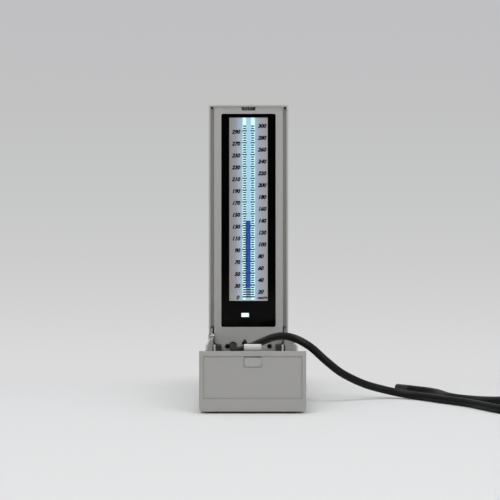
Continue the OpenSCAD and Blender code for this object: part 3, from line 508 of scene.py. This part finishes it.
def moulded(name, colour, gloss=0.5, grain=1500.0, depth=0.00002, drift=0.05, edge=None, wear_and_highlight=0.5, dust=0.0,
            dust_colour="#c9c8c4", specular=0.5, radius=0.0006, painted_shade=0.0, painted_light_by_height=None):
    mat, tree = new_material(name)
    texture = use_group(tree, grain_group, Colour=tint(colour), Gloss=gloss, Grain=grain, Drift=drift)
    shown = texture.outputs["Colour"]
    # Lighter edge colour: partly wear, partly painted highlight.
    if edge:
        shown = mix_colour(tree, use_group(tree, edge_wear_and_highlight_group, Amount=wear_and_highlight), shown, tint(edge))
    if dust:
        shown = mix_colour(tree, use_group(tree, dust_group, Amount=dust), shown, tint(dust_colour))
    # Painted shade in corners darkens the colour.
    if painted_shade:
        corner = use_group(tree, corner_shade_group, Depth=painted_shade)
        shown = node(tree, "ShaderNodeVectorMath", shown, Scale=corner, operation="SCALE")
    # Painted light and shade: the colour is scaled by factors given by height.
    if painted_light_by_height:
        low, high = painted_light_by_height[0][0], painted_light_by_height[-1][0]
        height = along(tree, own_place(tree), "Z")
        share = node(tree, "ShaderNodeMapRange", Value=height, From_Min=low * MM, From_Max=high * MM)
        painted_light_factor = ramp(tree, share, [((z - low) / (high - low), (f, f, f, 1)) for z, f in painted_light_by_height])
        shown = node(tree, "ShaderNodeVectorMath", shown, painted_light_factor, operation="MULTIPLY")
    rounded = node(tree, "ShaderNodeBevel", samples=4, Radius=radius)
    bump = node(tree, "ShaderNodeBump", Strength=1.0, Distance=depth, Height=texture.outputs["Height"],
                Normal=rounded)
    surface(tree, Base_Color=shown, Roughness=texture.outputs["Roughness"], Normal=bump,
            Specular_IOR_Level=specular)
    return mat


print("shared groups to draw on", [g.name for g in (grain_group, edge_wear_and_highlight_group, dust_group, corner_shade_group)])

# %% [markdown]
# ## The plastics and rubbers
# The case and the lid are one grey plastic; the lid's copy is painted a little lighter, because the lid
# catches more light. The tray is smoother and paler inside. The black surround is polished, so it has almost
# no grain and its look is all in the reflections. The depth of a grain is given in metres, as a real mould's
# would be.

# %% The plastics and rubbers
GREY_GRAIN = {"grain": 1300, "depth": 0.000018, "drift": 0.03}
# Edge colours here are partly wear and partly painted highlight; the corner value paints shade in corners.
case_grey = moulded("case_grey", "#959491", 0.52, edge="#b9b8b5", dust=0.12, painted_shade=0.35, **GREY_GRAIN)
# The lid's copy of the grey is painted lighter, because the lid catches more light.
lit_lid_grey = moulded("lit_lid_grey", "#a3a39f", 0.5, edge="#bab9b6", dust=0.12, painted_shade=0.3, **GREY_GRAIN)
panel_grey = moulded("panel_grey", "#989795", 0.55, 1600, 0.00002, 0.03, "#b4b3b0", 0.6, painted_shade=0.35)
tray_grey = moulded("tray_grey", "#b2b2af", 0.45, 900, 0.00001, 0.04, "#c4c4c1", 0.3, dust=0.15)
# Latch: painted light and shade by height, darker at the hook's foot and lighter towards its top.
LATCH_PAINTED_LIGHT = ((55, 1.0), (58.9, 0.9), (60, 1.08), (61.8, 1.34), (64.2, 1.5))
latch_grey = moulded("latch_grey", "#989794", 0.42, 1800, 0.00001, 0.03, "#dededb", 0.95, dust=0.5,
                     dust_colour="#dddcd8", painted_shade=0.6, painted_light_by_height=LATCH_PAINTED_LIGHT)
battery_well = moulded("battery_well", "#6f7072", 0.5, 1200, edge="#8b8c8e", wear_and_highlight=0.4)
piano_black = moulded("piano_black", "#030303", 0.1, 60, 0.000003, 0.0, "#161616", 0.3, specular=0.1)
dull_black = moulded("dull_black", "#161617", 0.5, 1100, drift=0.08, edge="#2e2e2f")
# The hose sleeve's strong pale edge colour is painted highlight along its edges, and partly wear.
sleeve_black = moulded("sleeve_black", "#12110f", 0.8, 900, 0.00006, 1.2, "#4a4946", specular=0.12)
# Black rubber for the feet; the same finish paints the dark shadow strips on the tray's lips.
black_rubber_and_gap_shadow = moulded("black_rubber_and_gap_shadow", "#242425", 0.75, 700, 0.00005, 0.12, "#3b3b3b", 0.4)
ivory_carrier = moulded("ivory_carrier", "#d9d6c8", 0.5, 900, 0.00001)
opal_sheet = moulded("opal_sheet", "#e9eef0", 0.35, 500, 0.000005, 0.02)
silicone = moulded("silicone", "#c3ccc8", 0.45, 300, 0.00001, 0.06)
sensor_black = moulded("sensor_black", "#232427", 0.4, 2500, 0.00001)
strike_grey = moulded("strike_grey", "#bab6ae", 0.5, 1200, drift=0.08)
seal_foam = moulded("seal_foam", "#949390", 0.8, 500, 0.0001, 0.1, radius=0.0002)
top_trim = moulded("top_trim", "#a6a5a2", 0.55, 900, 0.00003, radius=0.0002)
# Pale colour for the band round the surround: a painted highlight of its edge.
painted_rim_highlight = moulded("painted_rim_highlight", "#b6b5b2", 0.45, 1500, 0.00001, 0.03)
white_nylon = moulded("white_nylon", "#efefec", 0.4, 900, 0.00001, 0.03)
tick_ink = moulded("tick_ink", "#03080b", 0.7, 800, 0.000005, 0.1, specular=0.1)
print("last moulded finish", tick_ink.name)

# %% [markdown]
# ## Metals
# Stamped, turned and drawn metal parts differ in the way their fine scratches run, so a Mapping node
# stretches the noise one way and its height goes to the bump. A second, larger noise lays a dull stain over
# the colour.

# %% A function for metals, and the metals
def metal(name, colour, gloss=0.3, stretch=(1, 1, 1), dark="#5b5c5e"):
    mat, tree = new_material(name)
    place = own_place(tree)
    stretched = node(tree, "ShaderNodeMapping", Vector=place, Scale=stretch)
    scratches = node(tree, "ShaderNodeTexNoise", Vector=stretched, Scale=900.0, Detail=4.0)
    stain = node(tree, "ShaderNodeTexNoise", Vector=place, Scale=70.0, Detail=5.0)
    dulled = node(tree, "ShaderNodeMapRange", Value=stain, From_Min=0.45, From_Max=0.8, To_Max=0.5)
    rough = node(tree, "ShaderNodeMapRange", Value=scratches, To_Min=gloss - 0.08, To_Max=gloss + 0.14)
    bump = node(tree, "ShaderNodeBump", Strength=1.0, Distance=0.000004, Height=scratches)
    shown = mix_colour(tree, dulled, tint(colour), tint(dark))
    surface(tree, Base_Color=shown, Metallic=1.0, Roughness=rough, Normal=bump)
    return mat


zinc = metal("zinc", "#b4b5b5", 0.45, (1, 6, 1))
bright_steel = metal("bright_steel", "#c3c4c4", 0.35, (6, 1, 1))
nickel = metal("nickel", "#c9c4b8", 0.2)
black_oxide = metal("black_oxide", "#26272a", 0.42, dark="#121214")
spring_wire = metal("spring_wire", "#a9acb0", 0.28, (1, 1, 4))
print("metals", [m.name for m in (zinc, bright_steel, nickel, black_oxide, spring_wire)])

# %% [markdown]
# ## The hose's rubber, and the stops'
# Extruded rubber has a soft sheen, faint lines along its length from the die and a bloom of grey dust that
# gathers in cloudy patches. The lines follow the tube, so they read its UV map; the clouds read the
# object's own coordinates. The rubber stops of the open lid have fine upright ribs, and a wave texture draws
# those: it gives their bump, and it paints shade into the grooves and light onto the ridges.

# %% Hose rubber and ribbed rubber
hose_rubber, tree = new_material("hose_rubber")
tube_map = node(tree, "ShaderNodeUVMap", uv_map="along")
stretched = node(tree, "ShaderNodeMapping", Vector=tube_map, Scale=(90, 14, 1))
die_lines = node(tree, "ShaderNodeTexNoise", Vector=stretched, Scale=1.0, Detail=3.0, Roughness=0.6)
place = own_place(tree)
bloom = node(tree, "ShaderNodeTexNoise", Vector=place, Scale=45.0, Detail=6.0, Roughness=0.65)
speck = node(tree, "ShaderNodeTexNoise", Vector=place, Scale=2600.0, Detail=2.0)
cloud = node(tree, "ShaderNodeMapRange", Value=bloom, From_Min=0.42, From_Max=0.75, To_Max=0.55)
rough = node(tree, "ShaderNodeMapRange", Value=die_lines, To_Min=0.34, To_Max=0.5)
heights = maths(tree, "MULTIPLY_ADD", speck, 0.35, die_lines)
bump = node(tree, "ShaderNodeBump", Strength=1.0, Distance=0.00003, Height=heights)
shown = mix_colour(tree, cloud, tint("#040405"), tint("#09090a"))
surface(tree, Base_Color=shown, Roughness=rough, Normal=bump, Specular_IOR_Level=0.22)
air_hose.data.materials.append(hose_rubber)

stop_rubber, tree = new_material("ribbed_rubber")
ribs = node(tree, "ShaderNodeTexWave", Vector=own_place(tree), Scale=190.0, Distortion=0.4,
            wave_type="BANDS", bands_direction="X").outputs["Fac"]
bump = node(tree, "ShaderNodeBump", Distance=0.0003, Height=ribs)
# Painted shade in the grooves and painted light on the ridges of the ribs.
shown = mix_colour(tree, ribs, tint("#1a1a19"), tint("#4b4b49"))
surface(tree, Base_Color=shown, Roughness=0.7, Normal=bump)
print("rubbers", hose_rubber.name, stop_rubber.name)

# %% [markdown]
# ## Softened shells
# The solids have knife-sharp edges. Real mouldings have small radii that catch a line of light, so the
# shells that show are copied, their doubles merged and their flat faces joined, and a bevel runs along
# every sharp edge that has room for it. The bevel keeps inside the old faces, so each copy stays in its
# solid's box. An edge whose neighbour is too near stays sharp, because its bevel would tear the shell
# there.

# %% Which edges have room for a bevel
def has_room(edge, need):
    for vert in edge.verts:
        way = (edge.other_vert(vert).co - vert.co).normalized()
        for face in edge.link_faces:
            side = next(e for e in vert.link_edges if e is not edge and face in e.link_faces)
            step = side.other_vert(vert).co - vert.co
            run = step.dot(way)
            if run > -0.85 * step.length and (step - way * run).length < need:
                return False
    return True


print("solids to choose from", len(nodes))

# %% [markdown]
# ## From modifiers to a plain mesh
# A piece with live modifiers looks the same in a render, but its own mesh is still the unfinished one. So
# the finished shape is read back, takes the place of the first mesh, and the modifiers go.

# %% Bake what the modifiers made
def baked(obj):
    graph = bpy.context.evaluated_depsgraph_get()
    final = bpy.data.meshes.new_from_object(obj.evaluated_get(graph), preserve_all_data_layers=True,
                                            depsgraph=graph)
    obj.modifiers.clear()
    obj.data = final
    final.name = obj.name
    print(obj.name, len(final.polygons), "faces")


print("pieces so far", [obj.name for obj in (air_hose, card_sweep)])

# %% [markdown]
# ## The softening itself
# Joining the flat faces leaves a few very large ones, which could break up into slivers, so three cuts
# divide them first. Weighted normals then keep them flat to the eye beside the rounded edges.

# %% Copy a solid and soften its edges
CUTS = (0.3 * MM, -19.5 * MM, 19.5 * MM)
FLAT, SHARP = radians(0.6), radians(32)
MERGE = 2e-6
ROOM = 2.2


def softened(name, source, material, width=0.35, segments=2):
    mesh = nodes[source].data.copy()
    mesh.name = name
    bm = bmesh.new()
    bm.from_mesh(mesh)
    bmesh.ops.remove_doubles(bm, verts=bm.verts, dist=MERGE)
    for x in CUTS:
        cut = bmesh.ops.bisect_plane(bm, geom=bm.verts[:] + bm.edges[:] + bm.faces[:], plane_co=(x, 0, 0),
                                     plane_no=(1, 0, 0), dist=1e-6)
        for part in cut["geom_cut"]:
            if isinstance(part, bmesh.types.BMEdge):
                part.seam = True
    bmesh.ops.dissolve_limit(bm, angle_limit=FLAT, verts=bm.verts, edges=bm.edges, delimit={"SEAM"})
    bmesh.ops.recalc_face_normals(bm, faces=bm.faces)
    weight = bm.edges.layers.float.new("bevel_weight_edge")
    for edge in bm.edges:
        edge.seam = False
        if len(edge.link_faces) == 2 and edge.calc_face_angle(0) > SHARP:
            edge.smooth = bool(width)
            edge[weight] = float(has_room(edge, ROOM * width * MM))
    bm.to_mesh(mesh)
    bm.free()
    mesh.materials.clear()
    mesh.materials.append(material)
    obj = place_in_scene(bpy.data.objects.new(name, mesh))
    if width:
        bevel = obj.modifiers.new("edges", "BEVEL")
        bevel.limit_method = "WEIGHT"
        bevel.width, bevel.segments, bevel.use_clamp_overlap = width * MM, segments, True
    mesh.shade_smooth()
    if not width:
        mesh.set_sharp_from_angle(angle=SHARP)
    even = obj.modifiers.new("even", "WEIGHTED_NORMAL")
    even.keep_sharp, even.weight = True, 100
    baked(obj)
    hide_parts(source)
    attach(obj, body_of_node[source])
    return obj


print("cuts at x", CUTS)

# %% [markdown]
# ## Which shells are softened
# The edge of each shell has the radius, in millimetres, that its mould would have: larger on the case that
# is carried about, smaller on the panel and the screws. The switch's lever and the latch's spring are round
# and need none. The spring's copy gets a mesh of its own.

# %% Soften the shells
softened("base_case", "base_shell", case_grey, 0.45, 3)
softened("tray_lips", "storage_liner", tray_grey, 0.3)
softened("lid_case", "lid_shell", lit_lid_grey, 0.35)
softened("meter_panel", "front_panel", panel_grey, 0.25)
softened("black_surround", "window_frame", piano_black, 0.3)
softened("latch_moulding", "latch_lever", latch_grey, 0.3)
# The battery cover takes the lid's copy of the grey, painted lighter for the light the lid catches.
softened("battery_cover", "battery_door", lit_lid_grey, 0.25)
softened("hose_sleeve", "port_collar", sleeve_black, 0.2)
softened("switch_bush", "switch_body", dull_black, 0.15)
softened("switch_toggle", "power_lever", dull_black, 0)
softened("panel_screw_heads", "panel_screws", black_oxide, 0.12)
softened("rubber_stop_left", "stop_buffer_left", stop_rubber, 0.3)
softened("rubber_stop_right", "stop_buffer_right", stop_rubber, 0.3)
return_spring = softened("return_spring", "latch_spring", spring_wire, 0)
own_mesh(return_spring)

# %% [markdown]
# ## Seals, trims and washers
# Narrow pieces close the gaps that a real case doesn't leave open. Foam seals run in the grooves between
# the lid and its panel, two trims close its top, the push button has a flange behind its window, the panel's
# two screws have washers, and the tray has a white wear pad on each lip. Two more bands are painted light
# and shade: a pale rim round the black surround is a painted highlight of the edge that catches the light,
# and a dark strip on each lip beside the hinge post is painted shadow of the gap there. Each is a band: a
# small soft-edged section taken along an outline, open or closed. A curve with a bevel could do the same,
# but a band's two outlines can differ, which gives a frame its corners.

# %% A soft-edged band between two outlines
def round_loop(x0, z0, x1, z1, r, n=6):
    corners = ((x1 - r, z1 - r, 0), (x0 + r, z1 - r, 90), (x0 + r, z0 + r, 180), (x1 - r, z0 + r, 270))
    return [(cx + r * cos(radians(a + 90 * k / n)), cz + r * sin(radians(a + 90 * k / n)))
            for cx, cz, a in corners for k in range(n + 1)]


def circle(x, z, r, n=32):
    return [(x + r * cos(tau * k / n), z + r * sin(tau * k / n)) for k in range(n)]


def upright(x, z0, z1):
    return [(x, z0), (x, z1)]


def level(x0, x1, z):
    return [(x0, z), (x1, z)]


def band(name, outer, inner, front, back, material, body, closed=True, soft=0.15):
    bm = bmesh.new()
    rings = []
    for (ox, oz), (ix, iz) in zip(outer, inner):
        t = soft / hypot(ix - ox, iz - oz)
        section = ((0, back), (0, front + soft), (t, front), (1 - t, front), (1, front + soft), (1, back))
        rings.append([bm.verts.new(at(ox + (ix - ox) * k, d, oz + (iz - oz) * k)) for k, d in section])
    for a, b in zip(rings, rings[1:] + rings[:1] if closed else rings[1:]):
        for k in range(6):
            n = (k + 1) % 6
            bm.faces.new((a[k], a[n], b[n], b[k]))
    if not closed:
        bm.faces.new(rings[0])
        bm.faces.new(rings[-1][::-1])
    bmesh.ops.recalc_face_normals(bm, faces=bm.faces)
    mesh = as_mesh(bm, name)
    mesh.materials.append(material)
    obj = place_in_scene(bpy.data.objects.new(name, mesh))
    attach(obj, body)
    print(name, len(mesh.polygons), "faces")


# %% [markdown]
# ## Bands of the lid, the tray and the button
# Widths, heights and depths are the drawing's own, in millimetres. Left and right are the same band with
# its sign changed, so one loop makes both; the band's normals are worked out afterwards, which keeps the
# mirrored one from turning inside out. The rim and the button's flange run all the way round, and the
# flange rides with the latch.

# %% Bands of the lid, the tray and the button
PANEL_HALF, PANEL_TOP, LID_INNER, LID_CEILING = 43.5, 342.7, 47.7, 344.7
SEAL_LOW, SEAL_HIGH = 68, 343
TRIM_END, SLOT_END = 44.4, 8.7
SCREW_X, SCREW_Z = 26.5, 43.3
PAD_X, PAD_HALF = 42.55, 1.1
STRIP_LOW, STRIP_HIGH = 33, 46.5
for way, name in ((-1, "left"), (1, "right")):
    band(name + "_side_seal", upright(way * LID_INNER, SEAL_LOW, SEAL_HIGH),
         upright(way * PANEL_HALF, SEAL_LOW, SEAL_HIGH), 299.4, 300.4, seal_foam, "lid",
         closed=False)
    band(name + "_top_trim", level(way * TRIM_END, way * SLOT_END, LID_CEILING),
         level(way * TRIM_END, way * SLOT_END, PANEL_TOP), 296.3, 299.3, top_trim, "lid",
         closed=False)
    band(name + "_washer", circle(way * SCREW_X, SCREW_Z, 3.0), circle(way * SCREW_X, SCREW_Z, 1.7),
         295.9, 296.2, dull_black, "lid", soft=0.08)
    band(name + "_wear_pad", round_loop(way * PAD_X - PAD_HALF, 34.3, way * PAD_X + PAD_HALF, 45.6, 0.3),
         round_loop(way * PAD_X - 0.06, 35.4, way * PAD_X + 0.06, 44.5, 0.05), 282.3, 282.9, white_nylon,
         "base", soft=0.1)
    # Painted shadow: a dark strip on each lip beside the hinge post, where the gap lies in shade.
    band(name + "_gap_shadow_strip", upright(way * 44.2, STRIP_LOW, STRIP_HIGH),
         upright(way * 43.9, STRIP_LOW, STRIP_HIGH), 258, 282.4, black_rubber_and_gap_shadow, "base",
         closed=False, soft=0.05)
# Painted highlight: a pale band round the black surround, where its edge catches the light.
band("surround_highlight_rim", round_loop(-35.0, 66.8, 35.0, 336.7, 2.6), round_loop(-34.35, 67.4, 34.35, 336.1, 2.0),
     296.0, 296.4, painted_rim_highlight, "lid", soft=0.1)
band("button_flange", round_loop(-8.7, 43.35, 8.7, 52.5, 0.8), round_loop(-7.3, 44.0, 7.3, 52.1, 0.8),
     0.9, 1.6, latch_grey, "latch", soft=0.08)

# %% [markdown]
# ## The display
# The display is a lit liquid-crystal panel behind a clear pane: a bright cyan channel down the middle, two
# columns of ticks beside it, pale grey number fields at the sides and a dark blue bar that has fallen to
# 140. Its light is the panel's own, so the zones are an emission whose colour changes across the panel's
# width. A stop may carry a gain after its colour, where the channel is brighter than white card.

# %% Lit panel
LCD_FRONT = 299.1
SCALE_TOP, SCALE_LOW, SCALE_ZERO = 320.9, 111.4, 104.3
MMHG = (SCALE_TOP - SCALE_LOW) / 280


def scale_z(pressure):
    if pressure >= 20:
        return SCALE_LOW + (pressure - 20) * MMHG
    return SCALE_ZERO + pressure * (SCALE_LOW - SCALE_ZERO) / 20


def lit_material(name, stops, half=24.15, streak=0.03):
    mat, tree = new_material(name)
    place = own_place(tree)
    across = node(tree, "ShaderNodeMapRange", Value=along(tree, place, "X"), From_Min=-half * MM,
                  From_Max=half * MM)
    zones = ramp(tree, across, [((x + half) / (2 * half), tint(*colour)) for x, *colour in stops])
    cloud = node(tree, "ShaderNodeTexNoise", Vector=place, Scale=30.0, Detail=3.0)
    streaks = node(tree, "ShaderNodeMapRange", Value=cloud, To_Min=1 - streak, To_Max=1 + streak)
    lit = node(tree, "ShaderNodeVectorMath", zones, Scale=streaks, operation="SCALE")
    unlit = node(tree, "ShaderNodeVectorMath", lit, Scale=0.25, operation="SCALE")
    surface(tree, Base_Color=unlit, Roughness=0.35, Emission_Color=lit, Emission_Strength=1.0)
    return mat


display_light = lit_material("display_light", [
    (-24.1, "#929292"), (-18.3, "#9c9c9d"), (-15.0, "#a0a3ac"), (-13.0, "#a6b2cc"), (-9.4, "#a4c0d0"),
    (-7.6, "#b6d6de"), (-6.3, "#c8fcff", 1.7), (-3.9, "#c8fcff", 1.7), (-3.0, "#bce6f6"), (-1.6, "#addffa"),
    (1.6, "#b0e0fa"), (3.1, "#bce6f6"), (4.1, "#c8fcff", 1.7), (6.9, "#c8fcff", 1.65), (7.9, "#c8e4ec"),
    (9.2, "#acc0cc"), (13.0, "#a8b2c4"), (16.0, "#a9aaae"), (24.1, "#a4a4a5")])
bar_light = lit_material(
    "bar_light", [(-3.1, "#00237c"), (-1.6, "#0040a0"), (1.6, "#004aa6"), (2.7, "#002d88")], 3.1)
navy_light = lit_material("navy_light", [(-3.1, "#00072a"), (0, "#021a4c"), (2.7, "#000a30")], 3.1)
tick_light = lit_material("tick_light", [(-8, "#05202e"), (0, "#0a2a3a"), (8, "#05202e")], 8, 0.2)
field_light = lit_material("field_light", [(-8, "#9eb2b8"), (0, "#a8bcc2"), (8, "#a4b4b8")], 8)
print("scale", round(MMHG, 3), "mm for each mmHg")

# %% [markdown]
# ## Rows of small bars
# Ticks, segments and ribs repeat down or along a line, which is Geometry Nodes' work: a line of points, a
# small bar on each, and every so many a longer one. The same tree makes every row with other numbers, where
# modelling each by hand would take hundreds of objects. It ends in real geometry with its material, so it
# can be baked.

# %% A tree that repeats a small bar along a line
INT, VECTOR, SHAPE = "NodeSocketInt", "NodeSocketVector", "NodeSocketGeometry"
bar_rows, given = new_group(
    "bar_row", "GeometryNodeTree",
    [("Geometry", SHAPE, None), ("Count", INT, None), ("Step", VECTOR, None), ("Start", VECTOR, None),
     ("Size", VECTOR, None), ("Long", FLOAT, None), ("Every", INT, None), ("Shift", INT, None),
     ("Ink", "NodeSocketMaterial", None)],
    [("Geometry", SHAPE)])
line = node(bar_rows, "GeometryNodeMeshLine", Count=given["Count"], Start_Location=given["Start"],
            Offset=given["Step"])
bar = node(bar_rows, "GeometryNodeMeshCube", Size=given["Size"])
index = node(bar_rows, "GeometryNodeInputIndex")
rest = maths(bar_rows, "MODULO", maths(bar_rows, "ADD", index, given["Shift"]), given["Every"])
is_long = node(bar_rows, "FunctionNodeCompare", rest, 0.5, data_type="FLOAT", operation="LESS_THAN")
length = node(bar_rows, "GeometryNodeSwitch", is_long, 1.0, given["Long"], input_type="FLOAT")
stretch = node(bar_rows, "ShaderNodeCombineXYZ", length, 1.0, 1.0)
put = node(bar_rows, "GeometryNodeInstanceOnPoints", Points=line, Instance=bar, Scale=stretch)
real = node(bar_rows, "GeometryNodeRealizeInstances", put)
inked = node(bar_rows, "GeometryNodeSetMaterial", Geometry=real, Material=given["Ink"])
node(bar_rows, "NodeGroupOutput", inked)
sockets = {s.name: s.identifier for s in bar_rows.interface.items_tree if s.in_out == "INPUT"}
print("tree", bar_rows.name, len(bar_rows.nodes), "nodes, inputs", list(sockets))

# %% [markdown]
# ## Ticks, bar and segments
# A tick stands at every fourth unit, and every fifth tick is longer. The blue bar is a stack of thin
# segments that ends at the reading, and four dark ones lie under it. A pale foot closes the scale, and five
# dark bars on the catch in the lid's top, which the same tree lays side by side, are painted shade of the
# catch's grooves.

# %% Ticks, bar, segments and painted groove shade
def bar_row(name, ink, start, step, size, count, long=1.0, every=1, shift=0):
    obj = place_in_scene(bpy.data.objects.new(name, bpy.data.meshes.new(name)))
    row = obj.modifiers.new("row", "NODES")
    row.node_group = bar_rows
    values = {"Count": count, "Step": [v * MM for v in step], "Start": start,
              "Size": [v * MM for v in size], "Long": long, "Every": every, "Shift": shift, "Ink": ink}
    for label, value in values.items():
        row[sockets[label]] = value
    baked(obj)
    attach(obj, "lid")


PRINT_DEPTH = LCD_FRONT - 0.06
BAR_DEPTH = PRINT_DEPTH - 0.04
THIN = 0.05
TICK_STEP = 4 * MMHG
SEGMENT_PITCH = 2 * MMHG
BAR_TOP, BAR_LOW = scale_z(140), 115.3
for name, x in (("ticks_left", -4.95), ("ticks_right", 5.3)):
    bar_row(name, tick_light, at(x, PRINT_DEPTH, scale_z(300)), (0, 0, -TICK_STEP), (3.5, THIN, 2.0), 73,
            long=1.45, every=5, shift=3)
bar_row("blue_bar", bar_light, at(-0.35, BAR_DEPTH, BAR_TOP - 0.4), (0, 0, -SEGMENT_PITCH),
        (6.1, THIN, SEGMENT_PITCH - 0.07), int((BAR_TOP - BAR_LOW) / SEGMENT_PITCH))
bar_row("low_segments", navy_light, at(0, BAR_DEPTH, 114.5), (0, 0, -TICK_STEP), (5.9, THIN, 2.1), 4)
bar_row("scale_foot", field_light, at(0.2, PRINT_DEPTH, 100.9), (0, 0, -1), (15.4, THIN, 2.2), 1)
# Painted shade: five dark bars where the grooves of the catch lie in shade.
bar_row("catch_groove_shade", dull_black, at(-6.4, 301.38, 342.3), (3.2, 0, 0), (1.0, 0.1, 4.4), 5)

# %% [markdown]
# ## Numbers of the scale
# The scale is labelled every ten units, by turns on the left and on the right, in bold slanted figures.
# Blender's own font serves: each number is a text object with a shear and a little extra weight, and all of
# them are turned into one mesh, because a mesh can be baked and a text object can't.

# %% Scale numbers
def printed_words(name, words, size, ink, weight=0.0004):
    bm = bmesh.new()
    for word, x, z, align in words:
        curve = bpy.data.curves.new("word", "FONT")
        curve.body, curve.size, curve.shear, curve.offset = word, size, 0.3, weight
        curve.align_x, curve.align_y, curve.resolution_u = align, "CENTER", 4
        holder = place_in_scene(bpy.data.objects.new("word", curve))
        graph = bpy.context.evaluated_depsgraph_get()
        mesh = bpy.data.meshes.new_from_object(holder.evaluated_get(graph), depsgraph=graph)
        mesh.transform(Matrix.Translation(at(x, PRINT_DEPTH, z)) @ Matrix.Rotation(pi / 2, 4, "X"))
        bm.from_mesh(mesh)
        bpy.data.objects.remove(holder)
        bpy.data.meshes.remove(mesh)
    mesh = as_mesh(bm, name)
    mesh.materials.append(ink)
    obj = place_in_scene(bpy.data.objects.new(name, mesh))
    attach(obj, "lid")
    print(name, len(mesh.polygons), "faces")


numbers = [(str(n), -11.1, scale_z(n), "RIGHT") for n in range(30, 291, 20)]
numbers += [(str(n), 11.9, scale_z(n), "LEFT") for n in range(20, 301, 20)]
numbers += [("0", -12.2, SCALE_ZERO, "RIGHT")]
printed_words("scale_numbers", numbers, 6.6 * MM, tick_ink)
printed_words("scale_unit", [("mmHg", 11.5, 104.2, "LEFT")], 4.4 * MM, tick_ink, 0.0003)

# %% [markdown]
# ## Small lit window
# Under the display a second, small window glows white: a thin pane pressed in from behind the black frame.
# A flat card would do from the front, but it is a shallow lens of its own, with a thin rim and a raised
# middle, so it is built as a stack of rectangles, from its back to its raised front.

# %% Small window
def stepped_pane(name, x0, x1, z0, z1, front, steps, material):
    bm = bmesh.new()
    loops = []
    for inset, depth in steps:
        left, right, low, high = x0 + inset, x1 - inset, z0 + inset, z1 - inset
        corners = ((left, low), (right, low), (right, high), (left, high))
        loops.append([bm.verts.new(at(x, front + depth, z)) for x, z in corners])
    for a, b in zip(loops, loops[1:]):
        for k in range(4):
            n = (k + 1) % 4
            bm.faces.new((a[k], a[n], b[n], b[k]))
    bm.faces.new(loops[0][::-1])
    bm.faces.new(loops[-1])
    bmesh.ops.recalc_face_normals(bm, faces=bm.faces)
    mesh = as_mesh(bm, name)
    mesh.materials.append(material)
    return place_in_scene(bpy.data.objects.new(name, mesh))


window_light = lit_material("window_light", [(-9.6, "#dff6ff"), (-4, "#f2fdff"), (1.2, "#cfe9f4")], 9.6)
pane_steps = [(0, 1.0), (0, 0.02), (0.9, 0.02), (1.2, -0.5), (2.0, -0.62)]
small_window = stepped_pane("small_window", -9.9, 1.5, 79.2, 86.0, 297.4, pane_steps, window_light)
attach(small_window, "lid")
print("small window", len(small_window.data.polygons), "faces")

# %% [markdown]
# ## Clear pane
# The pane over the display is clear plastic with faint smears of handling. It keeps its solid. Its index is
# a little lower than window glass has, so that it reflects less and the display shows almost as it is.

# %% Clear pane
clear_pane, tree = new_material("clear_pane")
smear = node(tree, "ShaderNodeTexNoise", Vector=own_place(tree), Scale=35.0, Detail=6.0)
rough = node(tree, "ShaderNodeMapRange", Value=smear, From_Min=0.4, From_Max=0.8, To_Min=0.0, To_Max=0.03)
surface(tree, IOR=1.3, Transmission_Weight=1.0, Specular_IOR_Level=0.3, Roughness=rough)
print("pane", clear_pane.name)

# %% [markdown]
# ## Circuit board and cells
# The small works inside the lid show when the battery cover opens. A brick texture stands for the board's
# tracks, turned to lie in the board's plane, and a ramp along the cells draws their sleeves and bare ends.

# %% Circuit board and cells
circuit_board, tree = new_material("circuit_board")
turned = node(tree, "ShaderNodeMapping", Vector=own_place(tree), Rotation=(pi / 2, 0, 0))
tracks = node(tree, "ShaderNodeTexBrick", Vector=turned, Scale=160.0, Color1=tint("#1d5c36"),
              Color2=tint("#236a3f"), Mortar=tint("#2f8250"), Mortar_Size=0.04)
surface(tree, Base_Color=tracks, Roughness=0.35)

CELL_HALF = 0.0255
cell_sleeve, tree = new_material("cell_sleeve")
place = own_place(tree)
share = node(tree, "ShaderNodeMapRange", Value=along(tree, place, "X"), From_Min=-CELL_HALF,
             From_Max=CELL_HALF)
bands = ramp(tree, share, [(0.0, tint("#b9bcc0")), (0.03, tint("#22406a")), (0.3, tint("#2b4d7c")),
                           (0.31, tint("#c9ccd0")), (0.34, tint("#24436f")), (0.96, tint("#22406a")),
                           (0.97, tint("#b9bcc0"))], "CONSTANT")
cloud = node(tree, "ShaderNodeTexNoise", Vector=place, Scale=300.0)
bump = node(tree, "ShaderNodeBump", Distance=0.00001, Height=cloud)
surface(tree, Base_Color=bands, Roughness=0.3, Normal=bump)
print("works", circuit_board.name, cell_sleeve.name)

# %% [markdown]
# ## The solids that stay
# Pieces whose shape is right already keep their solid and only take a finish: steel for the hinges, screws
# and pins, rubber for the feet, and plastics for the carriers inside the lid.

# %% Give every solid its finish
finishes = {
    zinc: ["hinge_bracket_left", "hinge_bracket_right", "hinge_leaf_left", "hinge_leaf_right",
           "contact_plates"],
    strike_grey: ["strike_plate"],
    bright_steel: ["hinge_pin_left", "hinge_pin_right", "latch_pin", "bracket_screws", "board_screws",
                   "foot_screws"],
    spring_wire: ["contact_springs"],
    nickel: ["air_port"],
    black_rubber_and_gap_shadow: ["foot_front_left", "foot_front_right", "foot_rear_left", "foot_rear_right"],
    dull_black: ["cuff_connector"],
    battery_well: ["battery_tray"],
    ivory_carrier: ["lcd_holder"],
    opal_sheet: ["light_guide"],
    display_light: ["lcd_glass"],
    clear_pane: ["window_lens"],
    circuit_board: ["main_board"],
    sensor_black: ["pressure_sensor"],
    silicone: ["sensor_tube"],
    cell_sleeve: ["battery_upper", "battery_lower"],
    hose_rubber: ["hose_run", "hose_coil", "hose_tail"],
}
for material, names in finishes.items():
    for name in names:
        nodes[name].data.materials.clear()
        nodes[name].data.materials.append(material)
print("solids shown", sum(not obj.hide_render for obj in nodes.values()))
